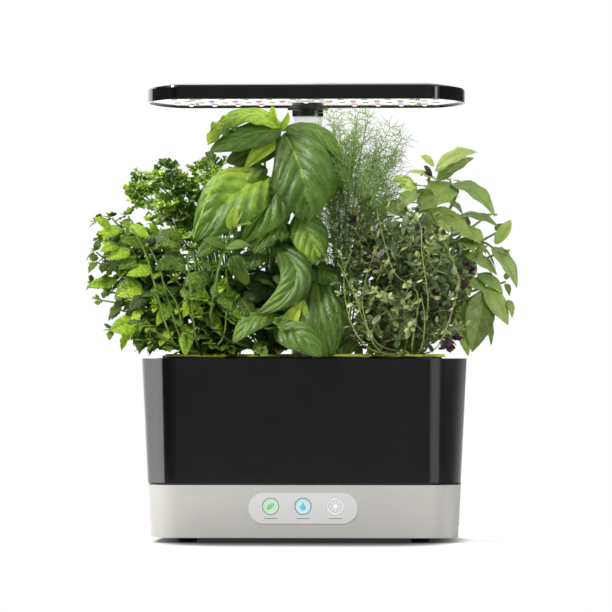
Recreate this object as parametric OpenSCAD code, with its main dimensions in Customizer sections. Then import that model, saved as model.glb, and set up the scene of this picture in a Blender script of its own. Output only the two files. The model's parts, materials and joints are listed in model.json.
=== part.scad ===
// Countertop hydroponic garden: a reservoir bowl on a lit-button base, six herb pods in a grow deck,
// and an LED lamp on a telescoping mast. Millimetres, +Z up, origin on the worktop under the centre.

/* [Outline] */
// Width of the bowl at its rim
bowl_w = 266.7; // [250:0.1:290]
// Depth of the bowl at its rim
bowl_d = 152.4; // [148:0.1:166]
// Corner radius of the bowl at its rim
corner_r = 30; // [26:0.5:36]
// How far the walls lean in for each millimetre of height
draft = 0.048; // [0.03:0.001:0.06]

/* [Base] */
// Height that the feet lift the base
foot_h = 4; // [3:0.1:6]
// Diameter of a foot
foot_d = 15.3; // [12:0.1:18]
// How far the feet stand inside the outline, sideways
foot_side = 38; // [34:0.5:48]
// How far the feet stand inside the outline, front to back
foot_front = 28; // [26:0.5:36]
// Height of the base shell
base_h = 43.2; // [40:0.1:48]
// Wall thickness of the base shell
base_wall = 2.4; // [1.8:0.1:3]
// Thickness of the bottom plate
plate_t = 2.4; // [2:0.1:3]

/* [Control panel] */
// How far the pill-shaped panel reaches past the outer buttons' centres
panel_end = 18.25; // [15:0.05:22]
// Height of the pill-shaped panel
panel_h = 25.5; // [22:0.1:28]
// Thickness of the panel
panel_t = 1.4; // [1:0.1:2]
// Height of the panel's middle above the worktop
panel_z = 28.3; // [26:0.1:30]
// How far the panel stands proud of the base
panel_proud = 0.3; // [0.1:0.1:0.6]
// Diameter of a button
button_d = 13.7; // [10:0.1:16]
// Distance between button centres
button_pitch = 26.4; // [22:0.1:30]
// How far the buttons sit above the panel's middle
button_up = 1.6; // [0:0.1:3]
// Travel of a button
button_travel = 0.6; // [0.3:0.1:1]

/* [Bowl] */
// Height of the bowl
bowl_h = 102.8; // [95:0.1:112]
// Thickness of the bowl's walls and floor
bowl_wall = 2.6; // [2:0.1:3.2]
// Shadow gap between bowl and base
seam = 0.5; // [0.3:0.1:1]
// Width of the ledge that carries the grow deck
ledge_w = 2.4; // [1.8:0.1:3]

/* [Grow deck] */
// Thickness of the grow deck
deck_t = 2.4; // [2:0.1:3]
// How far the deck lies below the rim
deck_drop = 1.2; // [0.8:0.1:2]
// Height of the collar round each pod
collar_h = 2.6; // [2:0.1:4]
// Distance between the pods of the front row
pod_pitch = 60; // [56:0.5:62]
// Distance of the rear pods from the middle
rear_pod_x = 64; // [60:0.5:68]
// Distance of the front row from the middle
front_row_y = 32; // [30:0.5:36]
// Distance of the rear row from the middle
rear_row_y = 30; // [28:0.5:34]
// Length of the filling port, sideways
port_w = 28; // [24:0.5:30]
// Length of the filling port, front to back
port_d = 21; // [18:0.5:23]

/* [Pods] */
// Diameter of a pod's label
label_d = 49; // [47:0.5:52]
// Diameter of the basket's flange
flange_d = 46; // [44:0.5:47]
// Outer diameter of the basket at its mouth
basket_d = 40; // [36:0.5:41]
// Outer diameter of the basket at its foot
basket_foot_d = 30; // [26:0.5:33]
// Depth of the basket
basket_h = 50; // [44:1:54]
// Wall thickness of the basket
basket_wall = 1.5; // [1.2:0.1:2]

/* [Mast] */
// Outer diameter of the upper mast tube
tube_d = 24.1; // [22:0.1:25]
// Wall thickness of both mast tubes
tube_wall = 1.3; // [1:0.1:1.6]
// Length of each mast tube
tube_len = 185; // [175:1:195]
// Distance of the mast behind the middle
mast_y = 40; // [38:0.5:42]
// Height of the upper edge of the middle tube above the worktop
middle_top = 236; // [225:1:245]

/* [Lamp] */
// Width of the lamp
lamp_w = 264; // [255:0.5:285]
// Depth of the lamp
lamp_d = 150; // [146:0.5:158]
// Radius of the lamp's bowed ends
lamp_end_r = 131; // [110:1:160]
// Radius of the lamp's corners
lamp_corner_r = 14; // [13:0.5:24]
// Height of the lamp's lower edge above the worktop
lamp_z = 362; // [358:0.5:375]
// Height of the lamp's side
lamp_side = 12; // [10:0.5:14]
// Wall thickness of the lamp's housing
lamp_wall = 2.2; // [1.8:0.1:2.6]
// How far the LED board lies above the lamp's lower edge
board_up = 2.3; // [2:0.1:3]
// Distance between neighbouring LEDs
led_pitch = 19.6; // [18:0.1:20]

/* [Herbs] */
// Thickness of a leaf
leaf_t = 1.1; // [0.8:0.1:1.6]
// Thickness of a stem
twig_d = 1.8; // [1.4:0.1:2.4]
// How far the herbs reach sideways from the middle
herb_x = 178; // [170:1:185]
// How far the herbs reach to the front and the back from the middle
herb_y = 88; // [82:1:95]

/* [Hidden] */
$fn = 72;

// Heights that follow from the driving ones
base_top = foot_h + base_h;
seam_z = base_top + seam;
rim_z = seam_z + bowl_h;
floor_z = seam_z + bowl_wall;
deck_top = rim_z - deck_drop;
deck_under = deck_top - deck_t;
collar_top = deck_top + collar_h;

// The outline: four corner axes that stay put while the corner radius shrinks downwards
corner_x = bowl_w / 2 - corner_r;
corner_y = bowl_d / 2 - corner_r;
foot_x = bowl_w / 2 - foot_side;
foot_y = bowl_d / 2 - foot_front;
panel_w = 2 * (button_pitch + panel_end);
draft_deg = atan(draft);
function wall_r(z) = corner_r - (rim_z - z) * draft;

// Colours
silver = [0.77, 0.765, 0.75];
black = [0.1, 0.1, 0.105];
panel_grey = [0.86, 0.86, 0.86];
pale_metal = [0.84, 0.82, 0.85];

eps = 0.01;      // sinks one solid into its neighbour within a node
over = 1;        // carries a cut past the face that it opens
fit = 0.2;       // clearance round a piece that drops into its place
slide_gap = 0.3; // clearance round a sliding mast tube

// ---------- shared shapes ----------

// A rounded block whose corner radius goes from r0 at z0 to r1 at z1, its corner axes at +-cx, +-cy
module block(z0, z1, r0, r1, cx = corner_x, cy = corner_y) {
    rotate([90, 0, 0]) translate([0, 0, -cy]) linear_extrude(2 * cy)
        polygon([[-cx - r0, z0], [cx + r0, z0], [cx + r1, z1], [-cx - r1, z1]]);
    rotate([90, 0, 90]) translate([0, 0, -cx]) linear_extrude(2 * cx)
        polygon([[-cy - r0, z0], [cy + r0, z0], [cy + r1, z1], [-cy - r1, z1]]);
    for (sx = [-1, 1], sy = [-1, 1])
        translate([sx * cx, sy * cy, z0]) cylinder(r1 = r0, r2 = r1, h = z1 - z0);
}

// The product's own drafted outline between two heights, moved in by inset
module drafted(z0, z1, inset = 0) block(z0, z1, wall_r(z0) - inset, wall_r(z1) - inset);

// Children stand on the sloping front face at height z, their +Z pointing out of it
module on_front(z) translate([0, -corner_y - wall_r(z), z]) rotate([90 + draft_deg, 0, 0]) children();

module pill(w, h) {
    square([w - h, h], center = true);
    for (s = [-1, 1]) translate([s * (w - h) / 2, 0]) circle(d = h);
}

module ring(outer_r, inner_r, h) difference() {
    cylinder(r = outer_r, h = h);
    translate([0, 0, -over]) cylinder(r = inner_r, h = h + 2 * over);
}

// Everything in the U that the mast's column fills at the back, grown by r
module mast_u(r, z0, z1) translate([0, mast_y, z0]) linear_extrude(z1 - z0) {
    circle(r = r);
    translate([-r, 0]) square([2 * r, bowl_d]);
}

// ---------- base ----------

screw_r = 1.5;
screw_head_r = 3;
screw_head_h = 1.8;
screw_len = 14;
boss_r = 4;
button_r = button_d / 2;
button_gap = 0.18;
button_lip = 1.3;
button_lip_t = 1;
panel_bed = panel_t - panel_proud;
switch_h = 3.6;
board_t = 1.6;
board_back = panel_bed + button_lip_t + 7;
foot_pin_r = 2.5;
foot_pin_h = 1.6;
jack_x = 58;
jack_z = base_top - 24;
jack_r = 4;
platform_w = 101;
platform_d = 76;
platform_t = 1.4;
vent_w = 4;
vent_pitch = 10;
vent_in = 12;
board_h = 20;
board_side = 2;
post_in = 6;
post_r = 3;
switch_w = 6;
plug_y = -20;
plug_r = 9;
plug_h = 5;

boss_x = foot_x + 11;
boss_y = foot_y - 12;

function base_bosses() = [for (sx = [-1, 1], sy = [-1, 1]) [sx * boss_x, sy * boss_y], [-44, 52], [44, -40]];

module base_shell() color(silver) difference() {
    union() {
        difference() {
            drafted(foot_h, base_top);
            drafted(foot_h - over, base_top - base_wall, base_wall);
        }
        for (p = base_bosses()) translate([p[0], p[1], foot_h + plate_t]) cylinder(r = boss_r, h = base_h - plate_t - eps);
        board_posts();
    }
    for (p = base_bosses()) translate([p[0], p[1], foot_h + plate_t - over]) cylinder(r = screw_r + 0.1, h = screw_len + over);
    on_front(panel_z) translate([0, 0, -panel_bed]) linear_extrude(panel_bed + over) pill(panel_w + fit, panel_h + fit);
    on_front(panel_z) for (i = [-1, 0, 1]) translate([i * button_pitch, button_up, -base_wall - 3 * over])
        cylinder(r = button_r + button_lip + fit, h = base_wall + 4 * over);
    translate([jack_x, 0, jack_z]) rotate([-90, 0, 0]) cylinder(r = jack_r + fit, h = bowl_d);
    translate([0, plug_y, base_top - base_wall - over]) cylinder(r = plug_r - 1.5, h = base_wall + 2 * over);
    translate([0, mast_y, base_top - base_wall - over]) cylinder(r = column_spigot_r + fit, h = base_wall + 2 * over);
}

// Two posts behind the panel that carry the control board
module board_posts() on_front(panel_z) for (s = [-1, 1])
    translate([s * (panel_w / 2 - post_in), 0, -board_back]) cylinder(r = post_r, h = board_back - base_wall / 2);

module base_plate() color(black) difference() {
    union() {
        drafted(foot_h, foot_h + plate_t, base_wall + fit);
        translate([-platform_w / 2, -platform_d / 2, foot_h - platform_t]) cube([platform_w, platform_d, platform_t + eps]);
    }
    for (p = base_bosses()) translate([p[0], p[1], 0]) {
        cylinder(r = screw_r + 0.3, h = base_h);
        cylinder(r = screw_head_r + fit, h = foot_h + screw_head_h - 0.6);
    }
    for (sx = [-1, 1], sy = [-1, 1]) translate([sx * foot_x, sy * foot_y, 0]) cylinder(r = foot_pin_r, h = foot_h + foot_pin_h);
    for (i = [-3:3]) translate([i * vent_pitch - vent_w / 2, -platform_d / 2 + vent_in, 0])
        cube([vent_w, platform_d - 2 * vent_in, foot_h + plate_t + over]);
}

module base_screws() color("silver") for (p = base_bosses()) translate([p[0], p[1], foot_h + screw_head_h - 0.6]) {
    translate([0, 0, -screw_head_h]) cylinder(r = screw_head_r, h = screw_head_h);
    translate([0, 0, -eps]) cylinder(r = screw_r, h = screw_len - 2);
}

module foot(sx, sy) color([0.13, 0.13, 0.13]) translate([sx * foot_x, sy * foot_y, 0]) {
    cylinder(r1 = foot_d / 2 - 0.8, r2 = foot_d / 2, h = 0.8);
    translate([0, 0, 0.8]) cylinder(r = foot_d / 2, h = foot_h - 0.8);
    translate([0, 0, foot_h - eps]) cylinder(r = foot_pin_r, h = foot_pin_h);
}

module control_panel() color(panel_grey) on_front(panel_z) difference() {
    translate([0, 0, -panel_bed]) linear_extrude(panel_t) pill(panel_w, panel_h);
    for (i = [-1, 0, 1]) translate([i * button_pitch, button_up, -panel_bed - over])
        cylinder(r = button_r + button_gap, h = panel_t + 2 * over);
}

module button(i) color(panel_grey) on_front(panel_z) translate([i * button_pitch, button_up, 0]) {
    translate([0, 0, -panel_bed - eps]) cylinder(r = button_r, h = panel_t + eps);
    translate([0, 0, -panel_bed - button_lip_t]) cylinder(r = button_r + button_lip, h = button_lip_t);
    translate([0, 0, -board_back + switch_h + button_travel + 0.05])
        cylinder(r = 2, h = board_back - switch_h - button_travel - panel_bed - button_lip_t);
}

module control_board() color("darkgreen") on_front(panel_z) difference() {
    translate([-panel_w / 2 - board_side, -board_h / 2, -board_back - board_t]) cube([panel_w + 2 * board_side, board_h, board_t]);
    for (s = [-1, 1]) translate([s * (panel_w / 2 - post_in), 0, -board_back - board_t - over]) cylinder(r = 1.2, h = board_t + 2 * over);
}

module button_switches() color("dimgray") on_front(panel_z) for (i = [-1, 0, 1])
    translate([i * button_pitch, button_up, -board_back]) {
        translate([-switch_w / 2, -switch_w / 2, 0]) cube([switch_w, switch_w, switch_h - 1]);
        cylinder(r = 1.7, h = switch_h);
    }

module dc_jack() color([0.08, 0.08, 0.08]) translate([jack_x, 0, jack_z]) difference() {
    intersection() {
        union() {
            rotate([-90, 0, 0]) cylinder(r = jack_r, h = bowl_d);
            translate([-5, 0, -5.5]) cube([10, corner_y + wall_r(jack_z) - base_wall - 0.8, 11]);
        }
        translate([-jack_x, 0, -jack_z]) drafted(foot_h, base_top, 0.2);
        translate([-10, corner_y + wall_r(jack_z) - 15, -10]) cube([20, 20, 20]);
    }
    translate([0, corner_y + wall_r(jack_z) - 10, 0]) rotate([-90, 0, 0]) ring(jack_r - 1, 1, 20);
}

module contact_plug() color("dimgray") translate([0, plug_y, base_top]) {
    difference() {
        cylinder(r = plug_r, h = plug_h);
        for (s = [-1, 1]) translate([s * 4, 0, plug_h - 3]) cylinder(r = 1.4, h = 3 + over);
    }
    translate([0, 0, -base_wall]) cylinder(r = plug_r - 1.7, h = base_wall + eps);
}

// ---------- bowl ----------

plinth_r = plug_r + 5;
plinth_top = base_top + plug_h + bowl_wall + 0.6;
pump_r = 17;
pump_h = 20;
pump_cap_h = 3;
filter_h = 6;
volute_r = 13;
volute_h = 12;
shaft_r = 1.5;
riser_r = 4;
riser_y = 2;
notch_r = 20;
lip_inset = 1.2;
ledge_t = 2;
ledge_z = deck_under - ledge_t - ledge_w;

module bowl() color(black) difference() {
    union() {
        drafted(seam_z + lip_inset, rim_z);
        block(seam_z, seam_z + lip_inset, wall_r(seam_z) - lip_inset, wall_r(seam_z + lip_inset));
        block(base_top, seam_z + eps, wall_r(base_top) - 6, wall_r(base_top) - 6);
    }
    difference() {
        bowl_room();
        mast_u(notch_r + bowl_wall, base_top, deck_under);
        translate([0, plug_y, base_top]) cylinder(r = plinth_r, h = plinth_top - base_top);
    }
    drafted(deck_under, rim_z + over, bowl_wall);
    mast_u(notch_r, base_top - over, rim_z + over);
    translate([0, plug_y, base_top - over]) cylinder(r = plug_r + 0.4, h = plug_h + 0.5 + over);
}

// The water's room: straight walls up to the ledge that the deck rests on, and a neck inside the ledge
module bowl_room() {
    drafted(floor_z, ledge_z, bowl_wall);
    block(ledge_z, ledge_z + ledge_w, wall_r(ledge_z) - bowl_wall, wall_r(ledge_z + ledge_w) - bowl_wall - ledge_w);
    drafted(ledge_z + ledge_w, deck_under + over, bowl_wall + ledge_w);
}

module pump_body() color([0.16, 0.16, 0.17]) translate([0, plug_y, plinth_top]) {
    difference() {
        union() {
            cylinder(r = pump_r, h = pump_h);
            translate([-riser_r - 1.5, 0, 0]) cube([2 * riser_r + 3, riser_y - plug_y, pump_h - 4]);
            translate([0, riser_y - plug_y, 0]) cylinder(r = riser_r + 1.5, h = pump_h - 4);
        }
        translate([0, 0, pump_h - volute_h]) cylinder(r = volute_r, h = volute_h + over);
        translate([0, volute_r - 2, pump_h - 8]) rotate([-90, 0, 0]) cylinder(r = 2.4, h = riser_y - plug_y - volute_r + 2);
        translate([0, riser_y - plug_y, pump_h - 10]) cylinder(r = riser_r, h = 10 + over);
    }
    translate([0, 0, pump_h - volute_h - eps]) cylinder(r = shaft_r, h = volute_h - 1);
}

module pump_impeller() color("ivory") translate([0, plug_y, plinth_top + pump_h - volute_h + 0.8]) difference() {
    union() {
        cylinder(r = 4, h = volute_h - 3.5);
        cylinder(r = 11, h = 1.6);
        for (a = [0:60:300]) rotate(a) translate([3, -0.6, 1.6 - eps]) cube([7.6, 1.2, 5.4]);
    }
    translate([0, 0, -over]) cylinder(r = shaft_r + 0.06, h = volute_h);
}

module pump_cover() color([0.2, 0.2, 0.21]) translate([0, plug_y, plinth_top + pump_h]) difference() {
    cylinder(r = pump_r, h = pump_cap_h);
    translate([0, 0, -over]) cylinder(r = 4.5, h = pump_cap_h + 2 * over);
    translate([-riser_r - 1.5 - fit, pump_r - 1.5, -over]) cube([2 * riser_r + 3 + 2 * fit, 5, pump_cap_h + 2 * over]);
}

module pump_filter() color([0.25, 0.25, 0.22]) translate([0, plug_y, plinth_top + pump_h + pump_cap_h])
    cylinder(r = pump_r - 3, h = filter_h);

module riser_tube() color("gainsboro") translate([0, riser_y, plinth_top + pump_h - 10])
    ring(riser_r, riser_r - 1.2, deck_under - plinth_top - pump_h + 10);

// ---------- mast ----------

tube_r = tube_d / 2;
upper_bore_r = tube_r - tube_wall;
middle_bore_r = tube_r + slide_gap;
middle_r = middle_bore_r + tube_wall;
column_bore_r = middle_r + slide_gap;
column_r = notch_r - 0.5;
column_spigot_r = column_bore_r + 2.6;
column_top = rim_z + 1;
column_foot = foot_h + plate_t + 0.4;
hub_z = lamp_z - 8.8;
hub_r = 13.2;
hub_flange_r = 17;
hub_flange_t = 3.9;
lead_r = 5;

module mast_column() color(black) difference() {
    union() {
        intersection() {
            mast_u(column_r, base_top, column_top);
            drafted(base_top, column_top, 0.3);
        }
        translate([0, mast_y, column_foot]) cylinder(r = column_spigot_r, h = base_top - column_foot + eps);
    }
    translate([0, mast_y, column_foot + 3]) cylinder(r = column_bore_r, h = column_top);
    translate([0, mast_y, column_foot - over]) cylinder(r = lead_r + 1, h = 5);
}

module mast_middle_tube() color(pale_metal) translate([0, mast_y, middle_top - tube_len]) {
    ring(middle_r, middle_bore_r, tube_len);
    translate([0, 0, tube_len - 5]) ring(middle_r + 1.2, middle_r - eps, 5);
}

module mast_upper_tube() color(pale_metal) translate([0, mast_y, hub_z + 3 - tube_len])
    ring(tube_r, upper_bore_r, tube_len);

module lamp_lead() color([0.85, 0.85, 0.85]) translate([0, mast_y, column_foot + 0.2])
    cylinder(r = lead_r, h = hub_z + 4 - column_foot);

// ---------- grow deck ----------

front_y = -front_row_y;
POD_MINT = [-1.5 * pod_pitch, front_y];
POD_BASIL = [-0.5 * pod_pitch, front_y];
POD_DILL = [0.5 * pod_pitch, front_y];
POD_THYME = [1.5 * pod_pitch, front_y];
POD_PARSLEY = [-rear_pod_x, rear_row_y];
POD_THAI_BASIL = [rear_pod_x, rear_row_y];
PODS = [POD_MINT, POD_BASIL, POD_DILL, POD_THYME, POD_PARSLEY, POD_THAI_BASIL];
deck_gap = 0.3;
deck_r = wall_r(deck_under) - bowl_wall - deck_gap;
port_x = -(rear_pod_x + flange_d / 2 + corner_x + deck_r) / 2;
port_y = corner_y - 6;
flap_edge = 2.2;
flap_t = 1.4;
pin_r = 1;
pin_y = port_y + port_d / 2 + flap_edge + 1.6;
pin_z = deck_top + pin_r + 0.9;
barrel_r = pin_r + 0.8;
lug_w = 3;

module grow_deck() color([0.12, 0.12, 0.125]) difference() {
    union() {
        block(deck_under, deck_top, deck_r, deck_r);
        for (p = PODS) translate([p[0], p[1], deck_top - eps]) cylinder(r = flange_d / 2, h = collar_h);
        for (s = [-1, 1]) translate([port_x + s * (port_w - lug_w) / 2 - lug_w / 2, pin_y, 0]) {
            translate([0, -barrel_r, deck_top - eps]) cube([lug_w, 2 * barrel_r, pin_z - deck_top + eps]);
            translate([0, 0, pin_z]) rotate([0, 90, 0]) cylinder(r = barrel_r, h = lug_w);
        }
    }
    for (p = PODS) translate([p[0], p[1], deck_under - over]) cylinder(d = basket_d + 2 * fit, h = collar_h + deck_t + 2 * over);
    mast_u(notch_r + bowl_wall + 0.4, deck_under - over, rim_z + over);
    translate([port_x - port_w / 2, port_y - port_d / 2, deck_under - over]) cube([port_w, port_d, deck_t + 2 * over]);
    translate([port_x - port_w, pin_y, pin_z]) rotate([0, 90, 0]) cylinder(r = pin_r, h = 2 * port_w);
}

flap_w = port_w - 2 * lug_w - 2 * deck_gap;
flap_z = deck_top + 0.1;
flap_front = port_y - port_d / 2 - flap_edge;
flap_back = pin_y - barrel_r - deck_gap;
tab_w = 10;
tab_d = 2;
module port_flap() color([0.14, 0.14, 0.145]) difference() {
    union() {
        translate([port_x - port_w / 2 - flap_edge, flap_front, flap_z])
            cube([port_w + 2 * flap_edge, flap_back - flap_front, flap_t]);
        translate([port_x - flap_w / 2, flap_back - 1, flap_z + flap_t - 1]) cube([flap_w, pin_y - flap_back + 1, 1]);
        translate([port_x - flap_w / 2, pin_y, pin_z]) rotate([0, 90, 0]) cylinder(r = barrel_r, h = flap_w);
        translate([port_x - tab_w / 2, flap_front - tab_d, flap_z]) cube([tab_w, tab_d + eps, flap_t]);
    }
    translate([port_x - port_w, pin_y, pin_z]) rotate([0, 90, 0]) cylinder(r = pin_r + 0.06, h = 2 * port_w);
}

module flap_pin() color("silver") translate([port_x - port_w / 2, pin_y, pin_z]) rotate([0, 90, 0]) cylinder(r = pin_r, h = port_w);

// ---------- pods ----------

flange_t = 1.7;
label_t = 0.5;
label_hole_r = 11;
slot_w = 5;
sponge_top = collar_top + flange_t;

module basket(p) color("white") translate([p[0], p[1], 0]) difference() {
    union() {
        translate([0, 0, collar_top]) cylinder(d = flange_d, h = flange_t);
        translate([0, 0, collar_top - basket_h]) cylinder(d1 = basket_foot_d, d2 = basket_d, h = basket_h + eps);
    }
    translate([0, 0, collar_top - basket_h + 2])
        cylinder(d1 = basket_foot_d - 2 * basket_wall, d2 = basket_d - 2 * basket_wall, h = basket_h + flange_t);
    for (a = [0:60:120]) rotate(a) translate([-basket_d, -slot_w / 2, collar_top - basket_h + 5])
        cube([2 * basket_d, slot_w, basket_h * 0.55]);
    translate([0, 0, collar_top - basket_h - over]) cylinder(r = 6, h = 4);
}

module sponge(p) color([0.3, 0.22, 0.14]) translate([p[0], p[1], sponge_top - basket_h * 0.8])
    cylinder(d1 = basket_foot_d - 2 * basket_wall - 4, d2 = basket_d - 2 * basket_wall - 4, h = basket_h * 0.8);

module label(p) color([0.78, 0.83, 0.18]) translate([p[0], p[1], sponge_top]) ring(label_d / 2, label_hole_r, label_t);

// ---------- lamp ----------

lamp_end_x = lamp_w / 2 - lamp_end_r;
lamp_cy = lamp_d / 2 - lamp_corner_r;
lamp_cx = lamp_end_x + sqrt(pow(lamp_end_r - lamp_corner_r, 2) - pow(lamp_cy, 2));
board_z = lamp_z + board_up;
lamp_board_t = 1.6;
heat_t = 2;
crown = 1.6;
crown_in = 10;
lamp_edge = 2;
led_row = 25;
lamp_screw_x = 92.5;
lamp_screw_y = 38;
lamp_screw_len = lamp_side - lamp_wall - board_up;

// Children at the four screws, at height z
module lamp_corners(z) for (sx = [-1, 1], sy = [-1, 1]) translate([sx * lamp_screw_x, sy * lamp_screw_y, z]) children();

// The lamp's outline between two heights, moved in by inset: a flat front and back, bowed ends, and
// corners that run into both
module lamp_block(z0, z1, inset) {
    translate([-lamp_cx, inset - lamp_d / 2, z0]) cube([2 * lamp_cx, lamp_d - 2 * inset, z1 - z0]);
    for (sx = [-1, 1], sy = [-1, 1]) translate([sx * lamp_cx, sy * lamp_cy, z0])
        cylinder(r = lamp_corner_r - inset, h = z1 - z0);
    for (s = [-1, 1]) intersection() {
        translate([s * lamp_end_x, 0, z0]) cylinder(r = lamp_end_r - inset, h = z1 - z0, $fn = 240);
        translate([0, 0, z0]) linear_extrude(z1 - z0) polygon([[s * lamp_end_x, 0],
            [s * (lamp_end_x + 2 * (lamp_cx - lamp_end_x)), -2 * lamp_cy], [s * (lamp_end_x + 2 * (lamp_cx - lamp_end_x)), 2 * lamp_cy]]);
    }
}

// The same outline as a ring of points: a quarter of it, from the bowed end over the corner, and its mirror images
function lamp_quarter(inset) = let (a = atan2(lamp_cy, lamp_cx - lamp_end_x)) concat(
    [for (k = [0:10]) let (t = a * k / 10) [lamp_end_x + (lamp_end_r - inset) * cos(t), (lamp_end_r - inset) * sin(t)]],
    [for (k = [1:6]) let (t = a + (90 - a) * k / 6) [lamp_cx + (lamp_corner_r - inset) * cos(t), lamp_cy + (lamp_corner_r - inset) * sin(t)]]);
function lamp_outline(inset) = let (q = lamp_quarter(inset), n = len(q)) concat(
    q, [for (k = [n - 1:-1:0]) [-q[k][0], q[k][1]]],
    [for (k = [1:n - 1]) -q[k]], [for (k = [n - 1:-1:1]) [q[k][0], -q[k][1]]]);

// A closed skin over rings of points that lie one above the other
module loft(rings) {
    n = len(rings[0]);
    last = n * (len(rings) - 1);
    polyhedron([for (r = rings) for (p = r) p], concat(
        [[for (i = [0:n - 1]) i]], [[for (i = [n - 1:-1:0]) last + i]],
        [for (b = [0:n:last - 1], i = [0:n - 1]) let (j = (i + 1) % n) [b + i, b + n + i, b + n + j]],
        [for (b = [0:n:last - 1], i = [0:n - 1]) let (j = (i + 1) % n) [b + i, b + n + j, b + j]]));
}

module lamp_housing() color(black) difference() {
    lamp_top = lamp_z + lamp_side;
    loft([for (level = [[lamp_z, 0], [lamp_top - lamp_edge, 0], [lamp_top - 0.35 * lamp_edge, 0.3 * lamp_edge],
                        [lamp_top, lamp_edge], [lamp_top + crown, lamp_edge + crown_in]])
        [for (p = lamp_outline(level[1])) [p[0], p[1], level[0]]]]);
    difference() {
        lamp_block(lamp_z - over, lamp_top - lamp_wall, lamp_wall);
        lamp_corners(board_z + lamp_board_t + heat_t) cylinder(r = boss_r, h = lamp_side);
    }
    lamp_corners(board_z) cylinder(r = screw_r + 0.1, h = lamp_screw_len);
}

module heat_plate() color("silver") difference() {
    lamp_block(board_z + lamp_board_t, board_z + lamp_board_t + heat_t, lamp_wall + fit);
    translate([0, mast_y, board_z]) cylinder(r = lead_r + 1, h = 10);
    lamp_corners(board_z) cylinder(r = screw_r + 0.1, h = 10);
}

module led_board() color("white") difference() {
    lamp_block(board_z, board_z + lamp_board_t, lamp_wall + fit);
    translate([0, mast_y, board_z - over]) cylinder(r = hub_r - 2 + fit, h = lamp_board_t + 2 * over);
    lamp_corners(board_z - over) cylinder(r = screw_r + 0.1, h = lamp_board_t + 2 * over);
}

led_w = 4.8;
led_h = 0.8;
led_lens_r = 2.3;
led_lens_h = 1.2;
led_room = 14;
LED_SPOTS = [
    for (j = [-2:2]) let (shift = (j % 2 == 0) ? 0 : 0.5)
    for (i = [-6:6]) let (x = (i + shift) * led_pitch, y = j * led_row)
    if (norm([abs(x) - lamp_end_x, y]) < lamp_end_r - lamp_wall - led_room && norm([x, y - mast_y]) > hub_flange_r + 6) [x, y, j == 0 ? abs(i) : 0]];

// One LED: a flat package with a domed lens
module led(x, y) translate([x, y, board_z - led_h]) {
    translate([-led_w / 2, -led_w / 2, 0]) cube([led_w, led_w, led_h]);
    translate([0, 0, -led_lens_h]) cylinder(r1 = led_lens_r * 0.5, r2 = led_lens_r * 0.9, h = led_lens_h / 2);
    translate([0, 0, -led_lens_h / 2]) cylinder(r1 = led_lens_r * 0.9, r2 = led_lens_r, h = led_lens_h / 2 + eps);
}

module white_leds() color("ivory") for (s = LED_SPOTS) if (s[2] == 0 || s[2] == 5) led(s[0], s[1]);
module red_leds() color([0.9, 0.3, 0.35]) for (s = LED_SPOTS) if (s[2] >= 1 && s[2] <= 3) led(s[0], s[1]);
module blue_leds() color([0.4, 0.45, 0.9]) for (s = LED_SPOTS) if (s[2] == 4) led(s[0], s[1]);

module lamp_hub() color(black) translate([0, mast_y, hub_z]) difference() {
    union() {
        cylinder(r = hub_r, h = lamp_z - hub_z - hub_flange_t + eps);
        translate([0, 0, lamp_z - hub_z - hub_flange_t]) cylinder(r = hub_flange_r, h = hub_flange_t);
        translate([0, 0, lamp_z - hub_z - eps]) cylinder(r = hub_r, h = board_up);
        translate([0, 0, lamp_z - hub_z]) cylinder(r = hub_r - 2, h = board_up + lamp_board_t);
    }
    translate([0, 0, -over]) cylinder(r = tube_r, h = 3 + over);
    translate([0, 0, -over]) cylinder(r = lead_r + 1, h = 30);
}

module lamp_screws() color("white") lamp_corners(board_z) {
    translate([0, 0, -screw_head_h]) cylinder(r = 2.6, h = screw_head_h);
    translate([0, 0, -eps]) cylinder(r = screw_r, h = lamp_screw_len - 0.5);
}

// ---------- herbs ----------

leaf_low = sponge_top + label_t + 0.5;
leaf_high = lamp_z - 2;
mast_room = 5;
row_split = mast_y - middle_r - mast_room;
leaf_gap = 0.5;
tip_gap = 3;
crown_r = 7;
crown_h = 3;
golden = 137.508;
flap_reach = port_d + 12;
leaf_sag = 0.35;
tall = leaf_high - leaf_low;

// The planes between neighbouring herbs, each by its x at the pods and its x under the lamp
EDGE_LEFT = [-herb_x - leaf_gap, -herb_x - leaf_gap];
MINT_BASIL = [-pod_pitch, -2.2 * pod_pitch];
BASIL_DILL = [0, 0.6 * pod_pitch];
DILL_THYME = [pod_pitch, 1.45 * pod_pitch];
EDGE_RIGHT = [herb_x + leaf_gap, herb_x + leaf_gap];
MAST_LEFT = [-middle_r - mast_room, -middle_r - mast_room];
MAST_RIGHT = [middle_r + mast_room, middle_r + mast_room];
FRONT_ROW = [-herb_y, row_split - leaf_gap];
REAR_ROW = [row_split + leaf_gap, herb_y];

// A pointed leaf along +X, len long and w wide, its midrib raised and its tip drooping
module leaf(len, w) hull() polyhedron(
    [[0, 0, 0], [len * 0.4, -w / 2, 0], [len, 0, -len * 0.2], [len * 0.4, w / 2, 0], [len * 0.4, 0, leaf_t]],
    [[4, 1, 0], [4, 2, 1], [4, 3, 2], [4, 0, 3], [0, 1, 2], [0, 2, 3]]);

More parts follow.
